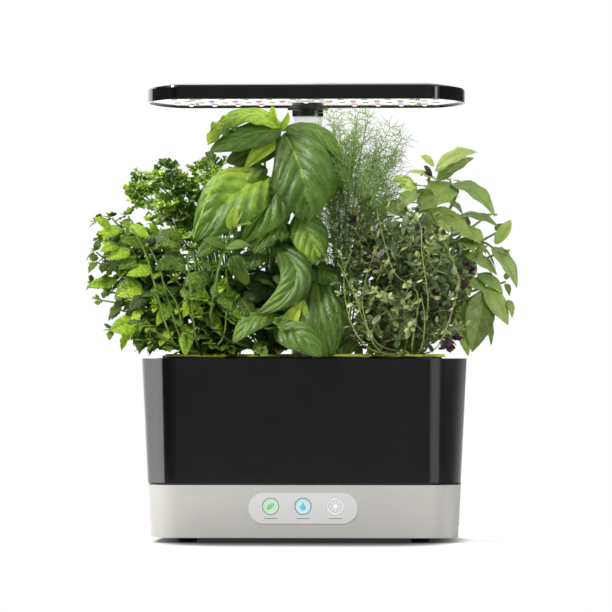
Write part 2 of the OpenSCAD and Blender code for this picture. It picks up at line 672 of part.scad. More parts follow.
// A broad leaf from a over the back m of its arch to b, w wide, its upper side turned towards face
module broad_leaf(a, m, b, w, face) {
    bend = 2 * m - (a + b) / 2;
    function run(t) = (1 - t) * (bend - a) + t * (b - bend);
    function side(t) = let (s = cross(run(t), face)) s / norm(s);
    function up(t) = let (u = cross(side(t), run(t))) u / norm(u);
    function loop(t) = let (c = (1 - t) * (1 - t) * a + 2 * t * (1 - t) * bend + t * t * b, h = w / 2 * sin(180 * pow(t, 0.8)))
        [c - side(t) * h - up(t) * h * leaf_sag, c + up(t) * leaf_t / 2, c + side(t) * h - up(t) * h * leaf_sag, c - up(t) * leaf_t / 2];
    shares = [0.25, 0.55, 0.85];
    n = len(shares);
    polyhedron(concat([a], [for (t = shares, q = loop(t)) q], [b]), concat(
        [for (i = [0:3]) [0, 1 + i, 1 + (i + 1) % 4]],
        [for (k = [0:n - 2], i = [0:3], j = [0, 1]) let (p = 1 + 4 * k + i, q = 1 + 4 * k + (i + 1) % 4) j == 0 ? [p, p + 4, q] : [q, p + 4, q + 4]],
        [for (i = [0:3]) [4 * n + 1, 4 * n - 3 + (i + 1) % 4, 4 * n - 3 + i]]));
}

// A length of twig from a, da thick, to b, db thick
module twig(a, b, da, db) hull() {
    translate(a) cylinder(d = da, h = da / 2, $fn = 4);
    translate(b) cylinder(d = db, h = db / 2, $fn = 4);
}

function mix(a, b, t) = a + (b - a) * t;
function clamp(v, low, high) = max(low, min(high, v));

// The point a share t of the way up a curve that rises from a and then leans over to b
function lean(a, b, t) = [mix(a[0], b[0], pow(t, 1.7)), mix(a[1], b[1], pow(t, 1.7)), mix(a[2], b[2], 1 - pow(1 - t, 1.6))];

// The same on the straight twigs that the curve is made of
twigs = 3;
function on_stem(a, b, t) = let (k = min(twigs - 1, floor(t * twigs)))
    mix(lean(a, b, k / twigs), lean(a, b, (k + 1) / twigs), t * twigs - k);

// The i-th of n directions spread evenly over a sphere, from its top down to the height low
function spread(i, n, low) = let (z = 1 - (i + 0.5) / n * (1 - low), r = sqrt(1 - z * z))
    [r * cos(i * golden), r * sin(i * golden), z];

// The point v, moved into the room between the planes left and right and the depths ys
function within(v, left, right, ys) = let (z = clamp(v[2], leaf_low + tip_gap, leaf_high - tip_gap), t = (z - leaf_low) / tall)
    [clamp(v[0], mix(left[0], left[1], t) + tip_gap, mix(right[0], right[1], t) - tip_gap),
     clamp(v[1], ys[0] + tip_gap, ys[1] - tip_gap), z];

// Lengths from shares of the herbs' reach sideways, their reach to the front and their height
function reach(v) = [v[0] * herb_x, v[1] * herb_y, v[2] * tall];

// A stem from a to b with pairs of leaves set crosswise, smaller towards its tip, and bare below
module sprig(a, b, pairs, leaf_l, leaf_w, lift, bare) {
    for (k = [0:twigs - 1])
        twig(lean(a, b, k / twigs), lean(a, b, (k + 1) / twigs), twig_d * (1.6 - 0.3 * k), twig_d * (1.3 - 0.3 * k));
    for (k = [0:pairs - 1], side = [-90, 90])
        translate(on_stem(a, b, 1 - (1 - bare) * k / pairs))
            rotate([0, -lift, atan2(b[1] - a[1], b[0] - a[0]) + 90 * k + side])
                leaf(leaf_l * (0.6 + 0.4 * k / pairs), leaf_w * (0.6 + 0.4 * k / pairs));
}

// The room between two planes, from front to back
module room(left, right, ys) hull() {
    translate([left[0] + leaf_gap, ys[0], leaf_low]) cube([right[0] - left[0] - 2 * leaf_gap, ys[1] - ys[0], eps]);
    translate([left[1] + leaf_gap, ys[0], leaf_high]) cube([right[1] - left[1] - 2 * leaf_gap, ys[1] - ys[0], eps]);
}

// n sprigs from the pod p that end all over an egg of half axes size round its middle.
// Middle and size are shares of the herbs' reach and height, and the leaves' length and width are shares of the height.
module bush(p, left, right, ys, middle, size, n, pairs, leaf_l, leaf_w, lift = 15, low = -0.5, bare = 0.4) for (i = [0:n - 1]) {
    d = spread(i, n, low) * (i % 3 == 1 ? 0.6 : 1);
    tip = within([0, 0, leaf_low] + reach([for (k = [0:2]) middle[k] + d[k] * size[k]]), left, right, ys);
    sprig([p[0] + d[0] * crown_r * 0.6, p[1] + d[1] * crown_r * 0.6, leaf_low], tip, pairs, leaf_l * tall, leaf_w * tall, lift, bare);
}

// The point a share t of the way along a stem's points
function on_branch(stem, t) = let (n = len(stem) - 1, k = min(n - 1, floor(t * n))) mix(stem[k], stem[k + 1], t * n - k);

// A stem from the pod p with broad leaves. Each leaf is its share of the way up the stem, its foot, its back, its tip,
// its width and the way that it faces, and all lengths are shares of the herbs' reach and height
module branch(p, stem, leaves) {
    pts = concat([[p[0], p[1], leaf_low]], [for (s = stem) [0, 0, leaf_low] + reach(s)]);
    for (k = [0:len(pts) - 2]) twig(pts[k], pts[k + 1], twig_d * (1.7 - 0.3 * k), twig_d * (1.4 - 0.3 * k));
    for (l = leaves) {
        foot = [0, 0, leaf_low] + reach(l[1]);
        translate([0, 0, -twig_d / 4]) twig(on_branch(pts, l[0]), foot, twig_d, twig_d);
        broad_leaf(foot, [0, 0, leaf_low] + reach(l[2]), [0, 0, leaf_low] + reach(l[3]), l[4] * tall, l[5]);
    }
}

module root_crown(p) translate([p[0], p[1], sponge_top]) cylinder(r = crown_r, h = crown_h, $fn = 8);

// A herb in the pod p, cut to its room
module herb(p, left, right, ys, middle, size, n, pairs, leaf_l, leaf_w, lift = 15, low = -0.5, bare = 0.4) {
    root_crown(p);
    intersection() {
        bush(p, left, right, ys, middle, size, n, pairs, leaf_l, leaf_w, lift, low, bare);
        room(left, right, ys);
    }
}

module herb_mint() color([0.4, 0.6, 0.2])
    herb(POD_MINT, EDGE_LEFT, MINT_BASIL, FRONT_ROW, [-0.72, -0.386, 0.2], [0.472, 0.5, 0.282], 7, 4, 0.185, 0.131, 15, -0.8, 0.25);

// Basil's broad leaves also hang in front of the dill's bare stems
module basil_nook() translate([-pod_pitch / 6, -herb_y, leaf_low]) cube([0.9 * pod_pitch, 0.38 * herb_y, 0.54 * tall]);

UPWARD = [-0.1, -0.4, 1];
FORWARD = [0, -1, 0.15];
module herb_basil() color([0.25, 0.48, 0.12]) {
    root_crown(POD_BASIL);
    intersection() {
        union() {
            bush(POD_BASIL, MINT_BASIL, BASIL_DILL, FRONT_ROW, [-0.15, -0.1, 0.44], [0.24, 0.25, 0.5], 4, 3, 0.28, 0.2, -15, -0.8, 0.2);
            branch(POD_BASIL, [[-0.16, -0.34, 0.21], [-0.13, -0.32, 0.58], [-0.13, -0.39, 0.9]], [
                [0.97, [-0.13, -0.43, 0.9], [-0.27, -0.47, 0.94], [-0.43, -0.55, 0.83], 0.17, UPWARD],
                [0.97, [-0.11, -0.36, 0.92], [0.06, -0.43, 0.92], [0.16, -0.48, 0.8], 0.15, [0.2, -0.4, 1]],
                [0.92, [-0.04, -0.36, 0.88], [0.11, -0.5, 0.75], [0.1, -0.55, 0.56], 0.17, [0.4, -0.9, 0.2]],
                [0.95, [-0.08, -0.43, 0.87], [-0.06, -0.8, 0.69], [0.01, -0.75, 0.5], 0.22, FORWARD],
                [0.75, [-0.17, -0.39, 0.7], [-0.34, -0.66, 0.61], [-0.47, -0.66, 0.46], 0.22, [-0.4, -0.8, 0.45]],
                [0.68, [-0.1, -0.45, 0.64], [-0.19, -0.63, 0.57], [-0.27, -0.64, 0.46], 0.16, FORWARD],
                [0.6, [-0.05, -0.48, 0.55], [0.01, -0.61, 0.46], [0.06, -0.64, 0.36], 0.14, [0.3, -0.9, 0.3]],
                [0.55, [-0.08, -0.5, 0.49], [-0.15, -0.62, 0.47], [-0.22, -0.66, 0.4], 0.13, [-0.1, -0.8, 0.6]],
                [0.48, [-0.07, -0.52, 0.42], [-0.03, -0.86, 0.28], [-0.22, -0.8, 0.16], 0.17, FORWARD],
                [0.35, [-0.14, -0.52, 0.3], [-0.21, -0.61, 0.26], [-0.28, -0.64, 0.18], 0.12, [-0.5, -0.8, 0.3]],
                [0.35, [0.02, -0.64, 0.28], [0.08, -0.9, 0.15], [0.11, -0.86, 0.03], 0.22, FORWARD],
                [0.2, [-0.17, -0.62, 0.14], [-0.25, -0.75, 0.12], [-0.32, -0.8, 0.05], 0.12, [-0.2, -0.8, 0.5]],
                [0.2, [-0.1, -0.64, 0.13], [-0.02, -0.84, 0.09], [0.08, -0.84, 0.03], 0.15, [0.1, -0.9, 0.4]]]);
        }
        union() {
            room(MINT_BASIL, BASIL_DILL, FRONT_ROW);
            basil_nook();
        }
    }
}

module herb_dill() color([0.55, 0.7, 0.35]) difference() {
    herb(POD_DILL, BASIL_DILL, DILL_THYME, FRONT_ROW, [0.258, -0.295, 0.65], [0.168, 0.386, 0.321], 7, 5, 0.165, 0.024, 40, -0.3, 0.4);
    translate([0, -leaf_gap, 0]) basil_nook();
}

module herb_thyme() color([0.3, 0.42, 0.15])
    herb(POD_THYME, DILL_THYME, EDGE_RIGHT, FRONT_ROW, [0.528, -0.386, 0.26], [0.258, 0.5, 0.341], 7, 4, 0.112, 0.068, 15, -0.8, 0.2);

module herb_parsley() color([0.2, 0.42, 0.12]) difference() {
    herb(POD_PARSLEY, EDGE_LEFT, MAST_LEFT, REAR_ROW, [-0.629, 0.591, 0.465], [0.472, 0.386, 0.321], 7, 4, 0.175, 0.165, 25, -0.7, 0.25);
    translate([port_x - port_w, row_split, leaf_low - over]) cube([2 * port_w, herb_y, flap_reach]);
}

module herb_thai_basil() color([0.4, 0.62, 0.22]) {
    root_crown(POD_THAI_BASIL);
    intersection() {
        union() {
            bush(POD_THAI_BASIL, MAST_RIGHT, EDGE_RIGHT, REAR_ROW, [0.58, 0.7, 0.42], [0.4, 0.25, 0.36], 4, 3, 0.22, 0.115, 15, -0.8, 0.2);
            branch(POD_THAI_BASIL, [[0.46, 0.5, 0.26], [0.55, 0.52, 0.5], [0.61, 0.47, 0.71]], [
                [1, [0.61, 0.45, 0.72], [0.7, 0.4, 0.81], [0.8, 0.34, 0.8], 0.1, UPWARD],
                [0.97, [0.6, 0.43, 0.7], [0.54, 0.39, 0.74], [0.47, 0.36, 0.73], 0.09, UPWARD],
                [0.8, [0.58, 0.45, 0.62], [0.69, 0.32, 0.56], [0.78, 0.32, 0.46], 0.18, FORWARD],
                [0.6, [0.57, 0.47, 0.5], [0.5, 0.38, 0.45], [0.43, 0.38, 0.35], 0.16, FORWARD]]);
            branch(POD_THAI_BASIL, [[0.48, 0.57, 0.22], [0.55, 0.62, 0.44], [0.68, 0.5, 0.65]], [
                [0.98, [0.68, 0.46, 0.66], [0.6, 0.4, 0.67], [0.52, 0.37, 0.6], 0.12, UPWARD],
                [0.98, [0.7, 0.5, 0.67], [0.8, 0.45, 0.67], [0.88, 0.37, 0.56], 0.13, [0.3, -0.5, 0.9]],
                [0.85, [0.69, 0.5, 0.57], [0.8, 0.45, 0.57], [0.9, 0.38, 0.5], 0.1, [0.2, -0.4, 0.9]]]);
            branch(POD_THAI_BASIL, [[0.58, 0.5, 0.22], [0.72, 0.45, 0.37], [0.84, 0.38, 0.45]], [
                [1, [0.86, 0.37, 0.44], [0.97, 0.34, 0.37], [1.01, 0.33, 0.27], 0.09, [0.6, -0.7, 0.4]],
                [0.8, [0.78, 0.4, 0.4], [0.84, 0.34, 0.38], [0.89, 0.34, 0.32], 0.08, [0.3, -0.6, 0.7]]]);
            branch(POD_THAI_BASIL, [[0.62, 0.47, 0.14], [0.74, 0.43, 0.21], [0.85, 0.37, 0.27]], [
                [1, [0.87, 0.36, 0.26], [0.92, 0.33, 0.21], [0.93, 0.33, 0.12], 0.09, [0.3, -0.9, 0.3]],
                [0.9, [0.82, 0.36, 0.24], [0.82, 0.32, 0.13], [0.77, 0.33, 0.04], 0.12, FORWARD],
                [0.7, [0.74, 0.4, 0.2], [0.74, 0.32, 0.12], [0.74, 0.33, 0.04], 0.09, FORWARD]]);
        }
        room(MAST_RIGHT, EDGE_RIGHT, REAR_ROW);
    }
}

// ---------- assembly ----------

base_shell();
base_plate();
foot(-1, -1);  // foot_front_left
foot(1, -1);  // foot_front_right
foot(-1, 1);  // foot_rear_left
foot(1, 1);  // foot_rear_right
base_screws();
control_panel();
button(-1);  // food_button
button(0);  // water_button
button(1);  // light_button
control_board();
button_switches();
dc_jack();
contact_plug();
bowl();
pump_body();
pump_impeller();
pump_cover();
pump_filter();
riser_tube();
mast_column();
mast_middle_tube();
mast_upper_tube();
lamp_lead();
grow_deck();
port_flap();
flap_pin();
lamp_housing();
heat_plate();
led_board();
white_leds();
red_leds();
blue_leds();
lamp_hub();
lamp_screws();
basket(POD_MINT);  // basket_mint
basket(POD_BASIL);  // basket_basil
basket(POD_DILL);  // basket_dill
basket(POD_THYME);  // basket_thyme
basket(POD_PARSLEY);  // basket_parsley
basket(POD_THAI_BASIL);  // basket_thai_basil
sponge(POD_MINT);  // sponge_mint
sponge(POD_BASIL);  // sponge_basil
sponge(POD_DILL);  // sponge_dill
sponge(POD_THYME);  // sponge_thyme
sponge(POD_PARSLEY);  // sponge_parsley
sponge(POD_THAI_BASIL);  // sponge_thai_basil
label(POD_MINT);  // label_mint
label(POD_BASIL);  // label_basil
label(POD_DILL);  // label_dill
label(POD_THYME);  // label_thyme
label(POD_PARSLEY);  // label_parsley
label(POD_THAI_BASIL);  // label_thai_basil
herb_mint();
herb_basil();
herb_dill();
herb_thyme();
herb_parsley();
herb_thai_basil();
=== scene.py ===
import json
import math

import bpy
import numpy as np
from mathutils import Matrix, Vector


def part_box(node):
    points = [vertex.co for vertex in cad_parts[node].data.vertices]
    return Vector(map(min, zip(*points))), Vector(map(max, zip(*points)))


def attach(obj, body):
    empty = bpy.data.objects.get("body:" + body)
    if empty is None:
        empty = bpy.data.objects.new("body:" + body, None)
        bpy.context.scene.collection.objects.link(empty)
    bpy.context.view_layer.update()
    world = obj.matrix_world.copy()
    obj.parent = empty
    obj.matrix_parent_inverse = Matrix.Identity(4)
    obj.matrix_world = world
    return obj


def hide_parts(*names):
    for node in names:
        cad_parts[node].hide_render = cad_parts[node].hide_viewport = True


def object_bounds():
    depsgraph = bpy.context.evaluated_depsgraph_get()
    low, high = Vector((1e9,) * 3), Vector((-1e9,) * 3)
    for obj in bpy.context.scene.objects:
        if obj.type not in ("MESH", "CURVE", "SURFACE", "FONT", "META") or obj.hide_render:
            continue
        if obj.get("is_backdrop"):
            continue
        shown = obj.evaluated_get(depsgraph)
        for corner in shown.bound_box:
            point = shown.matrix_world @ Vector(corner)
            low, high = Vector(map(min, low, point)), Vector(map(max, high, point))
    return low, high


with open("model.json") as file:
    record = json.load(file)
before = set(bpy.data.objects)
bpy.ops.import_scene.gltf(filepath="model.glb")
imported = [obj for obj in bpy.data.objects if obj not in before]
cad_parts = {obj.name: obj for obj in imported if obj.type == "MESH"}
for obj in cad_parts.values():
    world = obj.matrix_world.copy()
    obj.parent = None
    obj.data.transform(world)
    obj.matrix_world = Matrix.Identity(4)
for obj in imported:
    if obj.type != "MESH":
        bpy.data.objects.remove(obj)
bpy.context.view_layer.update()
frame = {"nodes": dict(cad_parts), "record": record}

MM = 0.001
UP = np.array([0, 0, 1.0])
rng = np.random.default_rng(11)


def add_object(name, data):
    obj = bpy.data.objects.new(name, data)
    bpy.context.scene.collection.objects.link(obj)
    return obj


# ---------------- camera
CAM_DISTANCE = 4070.0               # mm from the product's middle
CAM_TURN = math.radians(2.0)
CAM_PITCH = math.radians(0.612)
EYE_HEIGHT = 150.5                  # mm, level with the bowl's rim
FRAME_PX, FOCAL_PX = 612, 4904.0    # the frame's width and the focal length, in pixels
MIDDLE_PX, RIM_PX = 306.0, 358.4    # the column of the product's middle and the row of the eye height
SENSOR = 36                         # mm


def seen(px, py, y):
    """The point (mm) at depth y that shows at the pixel px, py of the photograph."""
    x = 0.0
    for _ in range(3):
        d = CAM_DISTANCE - x * math.sin(CAM_TURN) + y * math.cos(CAM_TURN)
        x = ((px - MIDDLE_PX) * d / FOCAL_PX - y * math.sin(CAM_TURN)) / math.cos(CAM_TURN)
    return np.array([x, y, EYE_HEIGHT - (py - RIM_PX) * d / FOCAL_PX])


def seen_all(*points):
    return [seen(*p) for p in points]


cam_data = bpy.data.cameras.new("Camera")
cam = add_object("Camera", cam_data)
cam.location = (CAM_DISTANCE * MM * math.sin(CAM_TURN), -CAM_DISTANCE * MM * math.cos(CAM_TURN), EYE_HEIGHT * MM)
cam.rotation_euler = (math.radians(90) + CAM_PITCH, 0, CAM_TURN)
cam_data.sensor_width = SENSOR
cam_data.lens = SENSOR * FOCAL_PX / FRAME_PX
cam_data.clip_start, cam_data.clip_end = 0.05, 60
bpy.context.scene.camera = cam
bpy.context.scene.view_settings.view_transform = "Standard"


# ---------------- node helpers
class Graph:
    """A short way to write a node tree."""

    def __init__(self, tree):
        self.tree = tree
        tree.nodes.clear()

    def new(self, kind, inputs=None, **props):
        n = self.tree.nodes.new(kind)
        for key, value in props.items():
            setattr(n, key, value)
        for key, value in (inputs or {}).items():
            self.feed(n.inputs[key], value)
        return n

    def feed(self, socket, value):
        if isinstance(value, bpy.types.Node):
            value = value.outputs[0]
        if isinstance(value, bpy.types.NodeSocket):
            self.tree.links.new(value, socket)
        elif socket.type == "RGBA":
            socket.default_value = (*value, 1.0)
        else:
            socket.default_value = value

    def math(self, op, a, b=0.0, c=0.0):
        return self.new("ShaderNodeMath", {0: a, 1: b, 2: c}, operation=op).outputs[0]

    def times(self, a, b):
        return self.math("MULTIPLY", a, b)

    def plus(self, a, b):
        return self.math("ADD", a, b)

    def minus(self, a, b):
        return self.math("SUBTRACT", a, b)

    def scaled(self, a, gain, offset):
        return self.math("MULTIPLY_ADD", a, gain, offset)

    def between(self, share, a, b):
        """a where share is 0 and b where it is 1."""
        return self.plus(self.times(a, self.minus(1.0, share)), self.times(b, share))

    def dot(self, a, b):
        return self.new("ShaderNodeVectorMath", {0: a, 1: b}, operation="DOT_PRODUCT").outputs["Value"]

    def step(self, value, low, high):
        return self.new("ShaderNodeMapRange", {"Value": value, "From Min": low, "From Max": high},
                        interpolation_type="SMOOTHSTEP").outputs["Result"]

    def mix(self, fac, a, b):
        return self.new("ShaderNodeMix", {0: fac, 6: a, 7: b}, data_type="RGBA").outputs[2]

    def noise(self, vector, scale, detail=3.0, rough=0.55):
        return self.new("ShaderNodeTexNoise", {"Vector": vector, "Scale": scale, "Detail": detail,
                                               "Roughness": rough}).outputs["Fac"]

    def voronoi(self, vector, scale, **props):
        return self.new("ShaderNodeTexVoronoi", {"Vector": vector, "Scale": scale}, **props).outputs["Distance"]

    def ramp(self, fac, stops):
        n = self.new("ShaderNodeValToRGB", {"Fac": fac})
        ends = n.color_ramp.elements
        ends[0].position, ends[1].position = stops[0][0], stops[-1][0]
        for pos, _ in stops[1:-1]:
            ends.new(pos)
        for e, (pos, col) in zip(ends, stops):
            e.position, e.color = pos, (*col, 1.0)
        return n.outputs["Color"]

    def bump(self, height, strength, distance):
        return self.new("ShaderNodeBump", {"Height": height, "Strength": strength, "Distance": distance}).outputs[0]

    def principled(self, colour, rough, normal, **more):
        names = {"specular": "Specular IOR Level", "metallic": "Metallic", "glow": "Emission Color",
                 "glow_strength": "Emission Strength"}
        return self.new("ShaderNodeBsdfPrincipled", {"Base Color": colour, "Roughness": rough, "Normal": normal,
                                                     **{names[key]: value for key, value in more.items()}})

    def surface(self, shader):
        self.new("ShaderNodeOutputMaterial", {"Surface": shader})


def material(name):
    """A new material, its graph, and the object's own coordinates in it."""
    mat = bpy.data.materials.new(name)
    mat.use_nodes = True
    g = Graph(mat.node_tree)
    return mat, g, g.new("ShaderNodeTexCoord").outputs["Object"]


def darker(colour, share):
    return tuple(c * share for c in colour)


def lighter(colour, gain=1.0, add=0.0):
    return tuple(min(1.0, c * gain + add) for c in colour)


# ---------------- studio
FACING = (math.sin(CAM_TURN), -math.cos(CAM_TURN), 0.0)     # from the product to the photographer
LEFTWARDS = (-math.cos(CAM_TURN), -math.sin(CAM_TURN), 0.0)
BACKDROP_WHITE, AMBIENT = 1.0, 0.22
GLOSS_TOP = 6.0                     # the brightest value that gloss shows
SIDE_PANEL = 5.4                    # brightness of the big white panel at the left, as gloss shows it
# Degrees are left of the photographer, as seen from the product. PANEL_EDGE and STRIPE: below and above eye height.
PANEL_EDGE, PANEL_BLUR = (52.0, 150.0), 1.2     # degrees at which the panel begins
STRIPE = (1.3, 6.0)                 # brightness of the strip light at the right
STRIPE_FROM, STRIPE_TO = (-34.0, -27.0), (-2.0, -9.0)       # degrees over which the strip fades in and out
STRIPE_SHIFT = 48.0                 # degrees by which it stands further right above eye height
DIM_FROM, DIM_TO, DIM = (-84.0, -96.0), (-170.0, -160.0), -0.95     # the dim part of the room, behind at the right
ROOM_STOPS = ((-178, 1.0), (-118, 1.0), (-70, 0.15), (-32, 0.18), (-6, 0.36), (4, 0.26), (24, 0.06), (40, 0.015),
              (150, 0.02), (178, 0.4))
PANEL_STOPS = ((-178, 0.9), (-160, 0.0), (30, 0.0), (40, SIDE_PANEL), (84, SIDE_PANEL * 0.9), (130, 1.8), (178, 1.2))
TOP_STOPS = ((-178, 0.6), (-140, 1.2), (-70, 1.3), (-28, 0.3), (20, 0.3), (60, 3.0), (150, 3.0), (178, 0.8))

world = bpy.data.worlds.new("Studio")
bpy.context.scene.world = world
world.use_nodes = True
g = Graph(world.node_tree)
ray = g.new("ShaderNodeTexCoord").outputs["Generated"]
path = g.new("ShaderNodeLightPath").outputs
turn = g.math("DIVIDE", g.math("ARCTAN2", g.dot(ray, LEFTWARDS), g.dot(ray, FACING)), math.pi)
share = g.scaled(turn, 0.5, 0.5)
degrees_left = g.times(turn, 180.0)
height = g.dot(ray, (0, 0, 1))
upward = g.step(height, -0.05, 0.0)


def grey_ramp(stops):
    """The brightness all round, from stops of (degrees left, brightness)."""
    colour = g.ramp(share, [(0.5 + degrees / 360, (value / GLOSS_TOP,) * 3) for degrees, value in stops])
    return g.times(g.new("ShaderNodeSeparateColor", {"Color": colour}), GLOSS_TOP)


room_light = grey_ramp(ROOM_STOPS)
dim = g.times(g.step(degrees_left, *DIM_FROM), g.step(degrees_left, *DIM_TO))
room_light = g.times(room_light, g.scaled(g.times(dim, upward), DIM, 1.0))
panel_light = grey_ramp(PANEL_STOPS)
panel_edge = g.scaled(upward, PANEL_EDGE[1] - PANEL_EDGE[0], PANEL_EDGE[0])
on_panel = g.step(degrees_left, g.minus(panel_edge, PANEL_BLUR), g.plus(panel_edge, PANEL_BLUR))
stripe_turn = g.plus(degrees_left, g.times(upward, STRIPE_SHIFT))
on_stripe = g.times(g.step(stripe_turn, *STRIPE_FROM), g.step(stripe_turn, *STRIPE_TO))
stripe_light = g.times(on_stripe, g.scaled(upward, STRIPE[1] - STRIPE[0], STRIPE[0]))
gloss_light = g.plus(g.plus(room_light, g.times(panel_light, on_panel)), stripe_light)
gloss_light = g.between(g.step(height, 0.35, 0.75), gloss_light, grey_ramp(TOP_STOPS))
strength = g.scaled(path["Is Camera Ray"], BACKDROP_WHITE - AMBIENT, AMBIENT)
strength = g.between(path["Is Glossy Ray"], strength, gloss_light)
strength = g.math("MAXIMUM", strength, path["Is Transmission Ray"])
background = g.new("ShaderNodeBackground", {"Color": (1, 1, 1), "Strength": strength})
g.new("ShaderNodeOutputWorld", {"Surface": background})

for name, place, target, size, watts, colour in (
        ("KeyLight", (-2.1, -1.2, 2.3), (0, 0, 0.2), 1.0, 138, (1, 1, 1)),
        ("FillLight", (1.8, -2.4, 0.9), (0, 0, 0.18), 1.3, 44, (1, 1, 1)),
        ("BackLight", (-1.3, 1.9, 1.4), (0, 0, 0.25), 1.0, 66, (1.0, 1.0, 0.95)),
        ("LampGlow", (0, 0, 0.357), (0, 0, 0), 0.17, 0.11, (1, 1, 1))):
    data = bpy.data.lights.new(name, "AREA")
    data.shape, data.size, data.energy, data.color = "DISK", size, watts, colour
    obj = add_object(name, data)
    obj.location = place
    obj.rotation_euler = (Vector(target) - Vector(place)).to_track_quat("-Z", "Y").to_euler()
    obj.visible_glossy = name == "KeyLight"

FLOOR_HALF, FLOOR_DROP = 0.36, 0.0002       # m; beyond the floor the white backdrop goes on
SHADE_X, SHADE_Y = 0.140, 0.197             # m, half the painted shadow patch under the product
SHADE_DARK, FLOOR_PALE = 0.045, 0.80
FLOOR_GLOW, SHADE_GLOW = 0.63, 0.03
floor_mesh = bpy.data.meshes.new("Floor")
floor_mesh.from_pydata([(sx * FLOOR_HALF, sy * FLOOR_HALF, -FLOOR_DROP)
                        for sx, sy in ((-1, -1), (1, -1), (1, 1), (-1, 1))], [], [(0, 1, 2, 3)])
floor = add_object("Floor", floor_mesh)
floor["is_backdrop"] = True
# the floor has a soft shadow painted under and around the product, in its colour and in its glow
mat, g, place = material("studio_floor")
x, y, _ = g.new("ShaderNodeSeparateXYZ", {"Vector": place}).outputs
across, along = (g.math("POWER", g.math("ABSOLUTE", g.math("DIVIDE", value, half)), power)
                 for value, half, power in ((x, SHADE_X, 6.0), (y, SHADE_Y, 2.0)))
clear = g.step(g.plus(across, along), 0.15, 1.0)     # painted shadow mask: 0 under the product, where the floor is painted dark, 1 out in the open
glow = g.times(g.scaled(clear, FLOOR_GLOW, SHADE_GLOW), g.new("ShaderNodeLightPath").outputs["Is Camera Ray"])
emit = g.new("ShaderNodeEmission", {"Color": (1, 1, 1), "Strength": glow})
painted_shadow_colour = g.mix(clear, (SHADE_DARK,) * 3, (FLOOR_PALE,) * 3)
painted_shadow_colour = g.mix(g.times(g.noise(place, 60), 0.05), painted_shadow_colour, (1, 1, 1))
g.surface(g.new("ShaderNodeAddShader", {0: emit, 1: g.new("ShaderNodeBsdfDiffuse", {"Color": painted_shadow_colour})}))
floor_mesh.materials.append(mat)


# ---------------- materials of the CAD pieces
def moulded(name, colour, rough, grain_depth=0.00004, mottle=0.05, specular=0.5, metallic=0.0, streaks=0.0, wear=0.0,
            glow=0.0):
    """A moulded, painted or drawn surface: fine grain, a slow mottle in colour and roughness, paler worn patches."""
    mat, g, place = material(name)
    slow = g.noise(place, 22.0)
    height = g.noise(place, 2600.0, 2.0)
    col = g.mix(g.step(slow, 0.3, 0.7), darker(colour, 1 - mottle), lighter(colour, 1 + mottle))
    if streaks:
        drawn = g.new("ShaderNodeMapping", {"Vector": place, "Scale": (1.0, 1.0, 0.012)}).outputs[0]
        height = g.noise(drawn, 1500.0, 2.0)
        col = g.mix(g.times(height, streaks), col, darker(colour, 0.72))
    if wear:
        scuffs = g.step(g.noise(place, 90.0, 6.0, 0.7), 0.60, 0.72)
        col = g.mix(g.times(scuffs, wear), col, lighter(colour, add=0.12))
    rough = g.scaled(g.noise(place, 60.0, 4.0), 0.12, rough - 0.06)
    # painted glow: the surface sends out light though it is no lamp
    painted_glow = dict(glow=(1.0, 0.98, 1.0), glow_strength=glow) if glow else {}
    g.surface(g.principled(col, rough, g.bump(height, 0.35, grain_depth), metallic=metallic, specular=specular, **painted_glow))
    return mat


def foam(name, pale, dark, cell, depth):
    """Open cells or fibres: a cellular pattern in colour and relief."""
    mat, g, place = material(name)
    cells = g.voronoi(place, cell)
    specks = g.noise(place, cell * 2.3, 5.0, 0.7)
    col = g.mix(g.step(g.plus(cells, g.times(specks, 0.5)), 0.3, 0.95), dark, pale)
    normal = g.bump(g.plus(cells, specks), 0.8, depth)
    g.surface(g.principled(col, g.scaled(specks, 0.15, 0.8), normal, specular=0.2))
    return mat


def circuit(name):
    """Solder mask with copper tracks that shine through it and pale pads."""
    mat, g, place = material(name)
    tracks = g.new("ShaderNodeTexBrick", {
        "Vector": place, "Color1": (0.02, 0.16, 0.06), "Color2": (0.03, 0.22, 0.09), "Mortar": (0.10, 0.34, 0.14),
        "Scale": 220.0, "Mortar Size": 0.03}).outputs["Color"]
    pads = g.step(g.voronoi(place, 260.0), 0.16, 0.12)
    col = g.mix(pads, tracks, (0.55, 0.5, 0.35))
    g.surface(g.principled(col, g.scaled(pads, -0.1, 0.38), g.bump(pads, 0.3, 0.00005)))
    return mat


LENS_TOP = 0.3635 - 0.00002         # m; an LED is a lens below this height


def led(name, lens, glow):
    """A pale ceramic package above and a lit lens below."""
    mat, g, place = material(name)
    is_lens = g.math("LESS_THAN", g.new("ShaderNodeSeparateXYZ", {"Vector": place}).outputs[2], LENS_TOP)
    fine = g.noise(place, 1800.0, 2.0)
    package = g.mix(fine, (0.62, 0.62, 0.6), (0.75, 0.75, 0.73))
    col = g.mix(is_lens, package, g.mix(fine, lens, darker(lens, 0.9)))
    g.surface(g.principled(col, g.scaled(is_lens, -0.25, 0.42), g.bump(fine, 0.2, 0.00003),
                           glow=g.mix(is_lens, (0, 0, 0), lens), glow_strength=glow))
    return mat


def label_card(name):
    """Coated card: paper fibres under a thin gloss, and a few paler water marks."""
    mat, g, place = material(name)
    fibres = g.noise(place, 900.0, 4.0)
    marks = g.step(g.noise(place, 70.0), 0.62, 0.7)
    col = g.mix(fibres, (0.70, 0.78, 0.06), (0.84, 0.90, 0.15))
    col = g.mix(g.times(marks, 0.35), col, (0.88, 0.92, 0.36))
    g.surface(g.principled(col, g.scaled(marks, -0.12, 0.42), g.bump(fibres, 0.25, 0.00004)))
    return mat


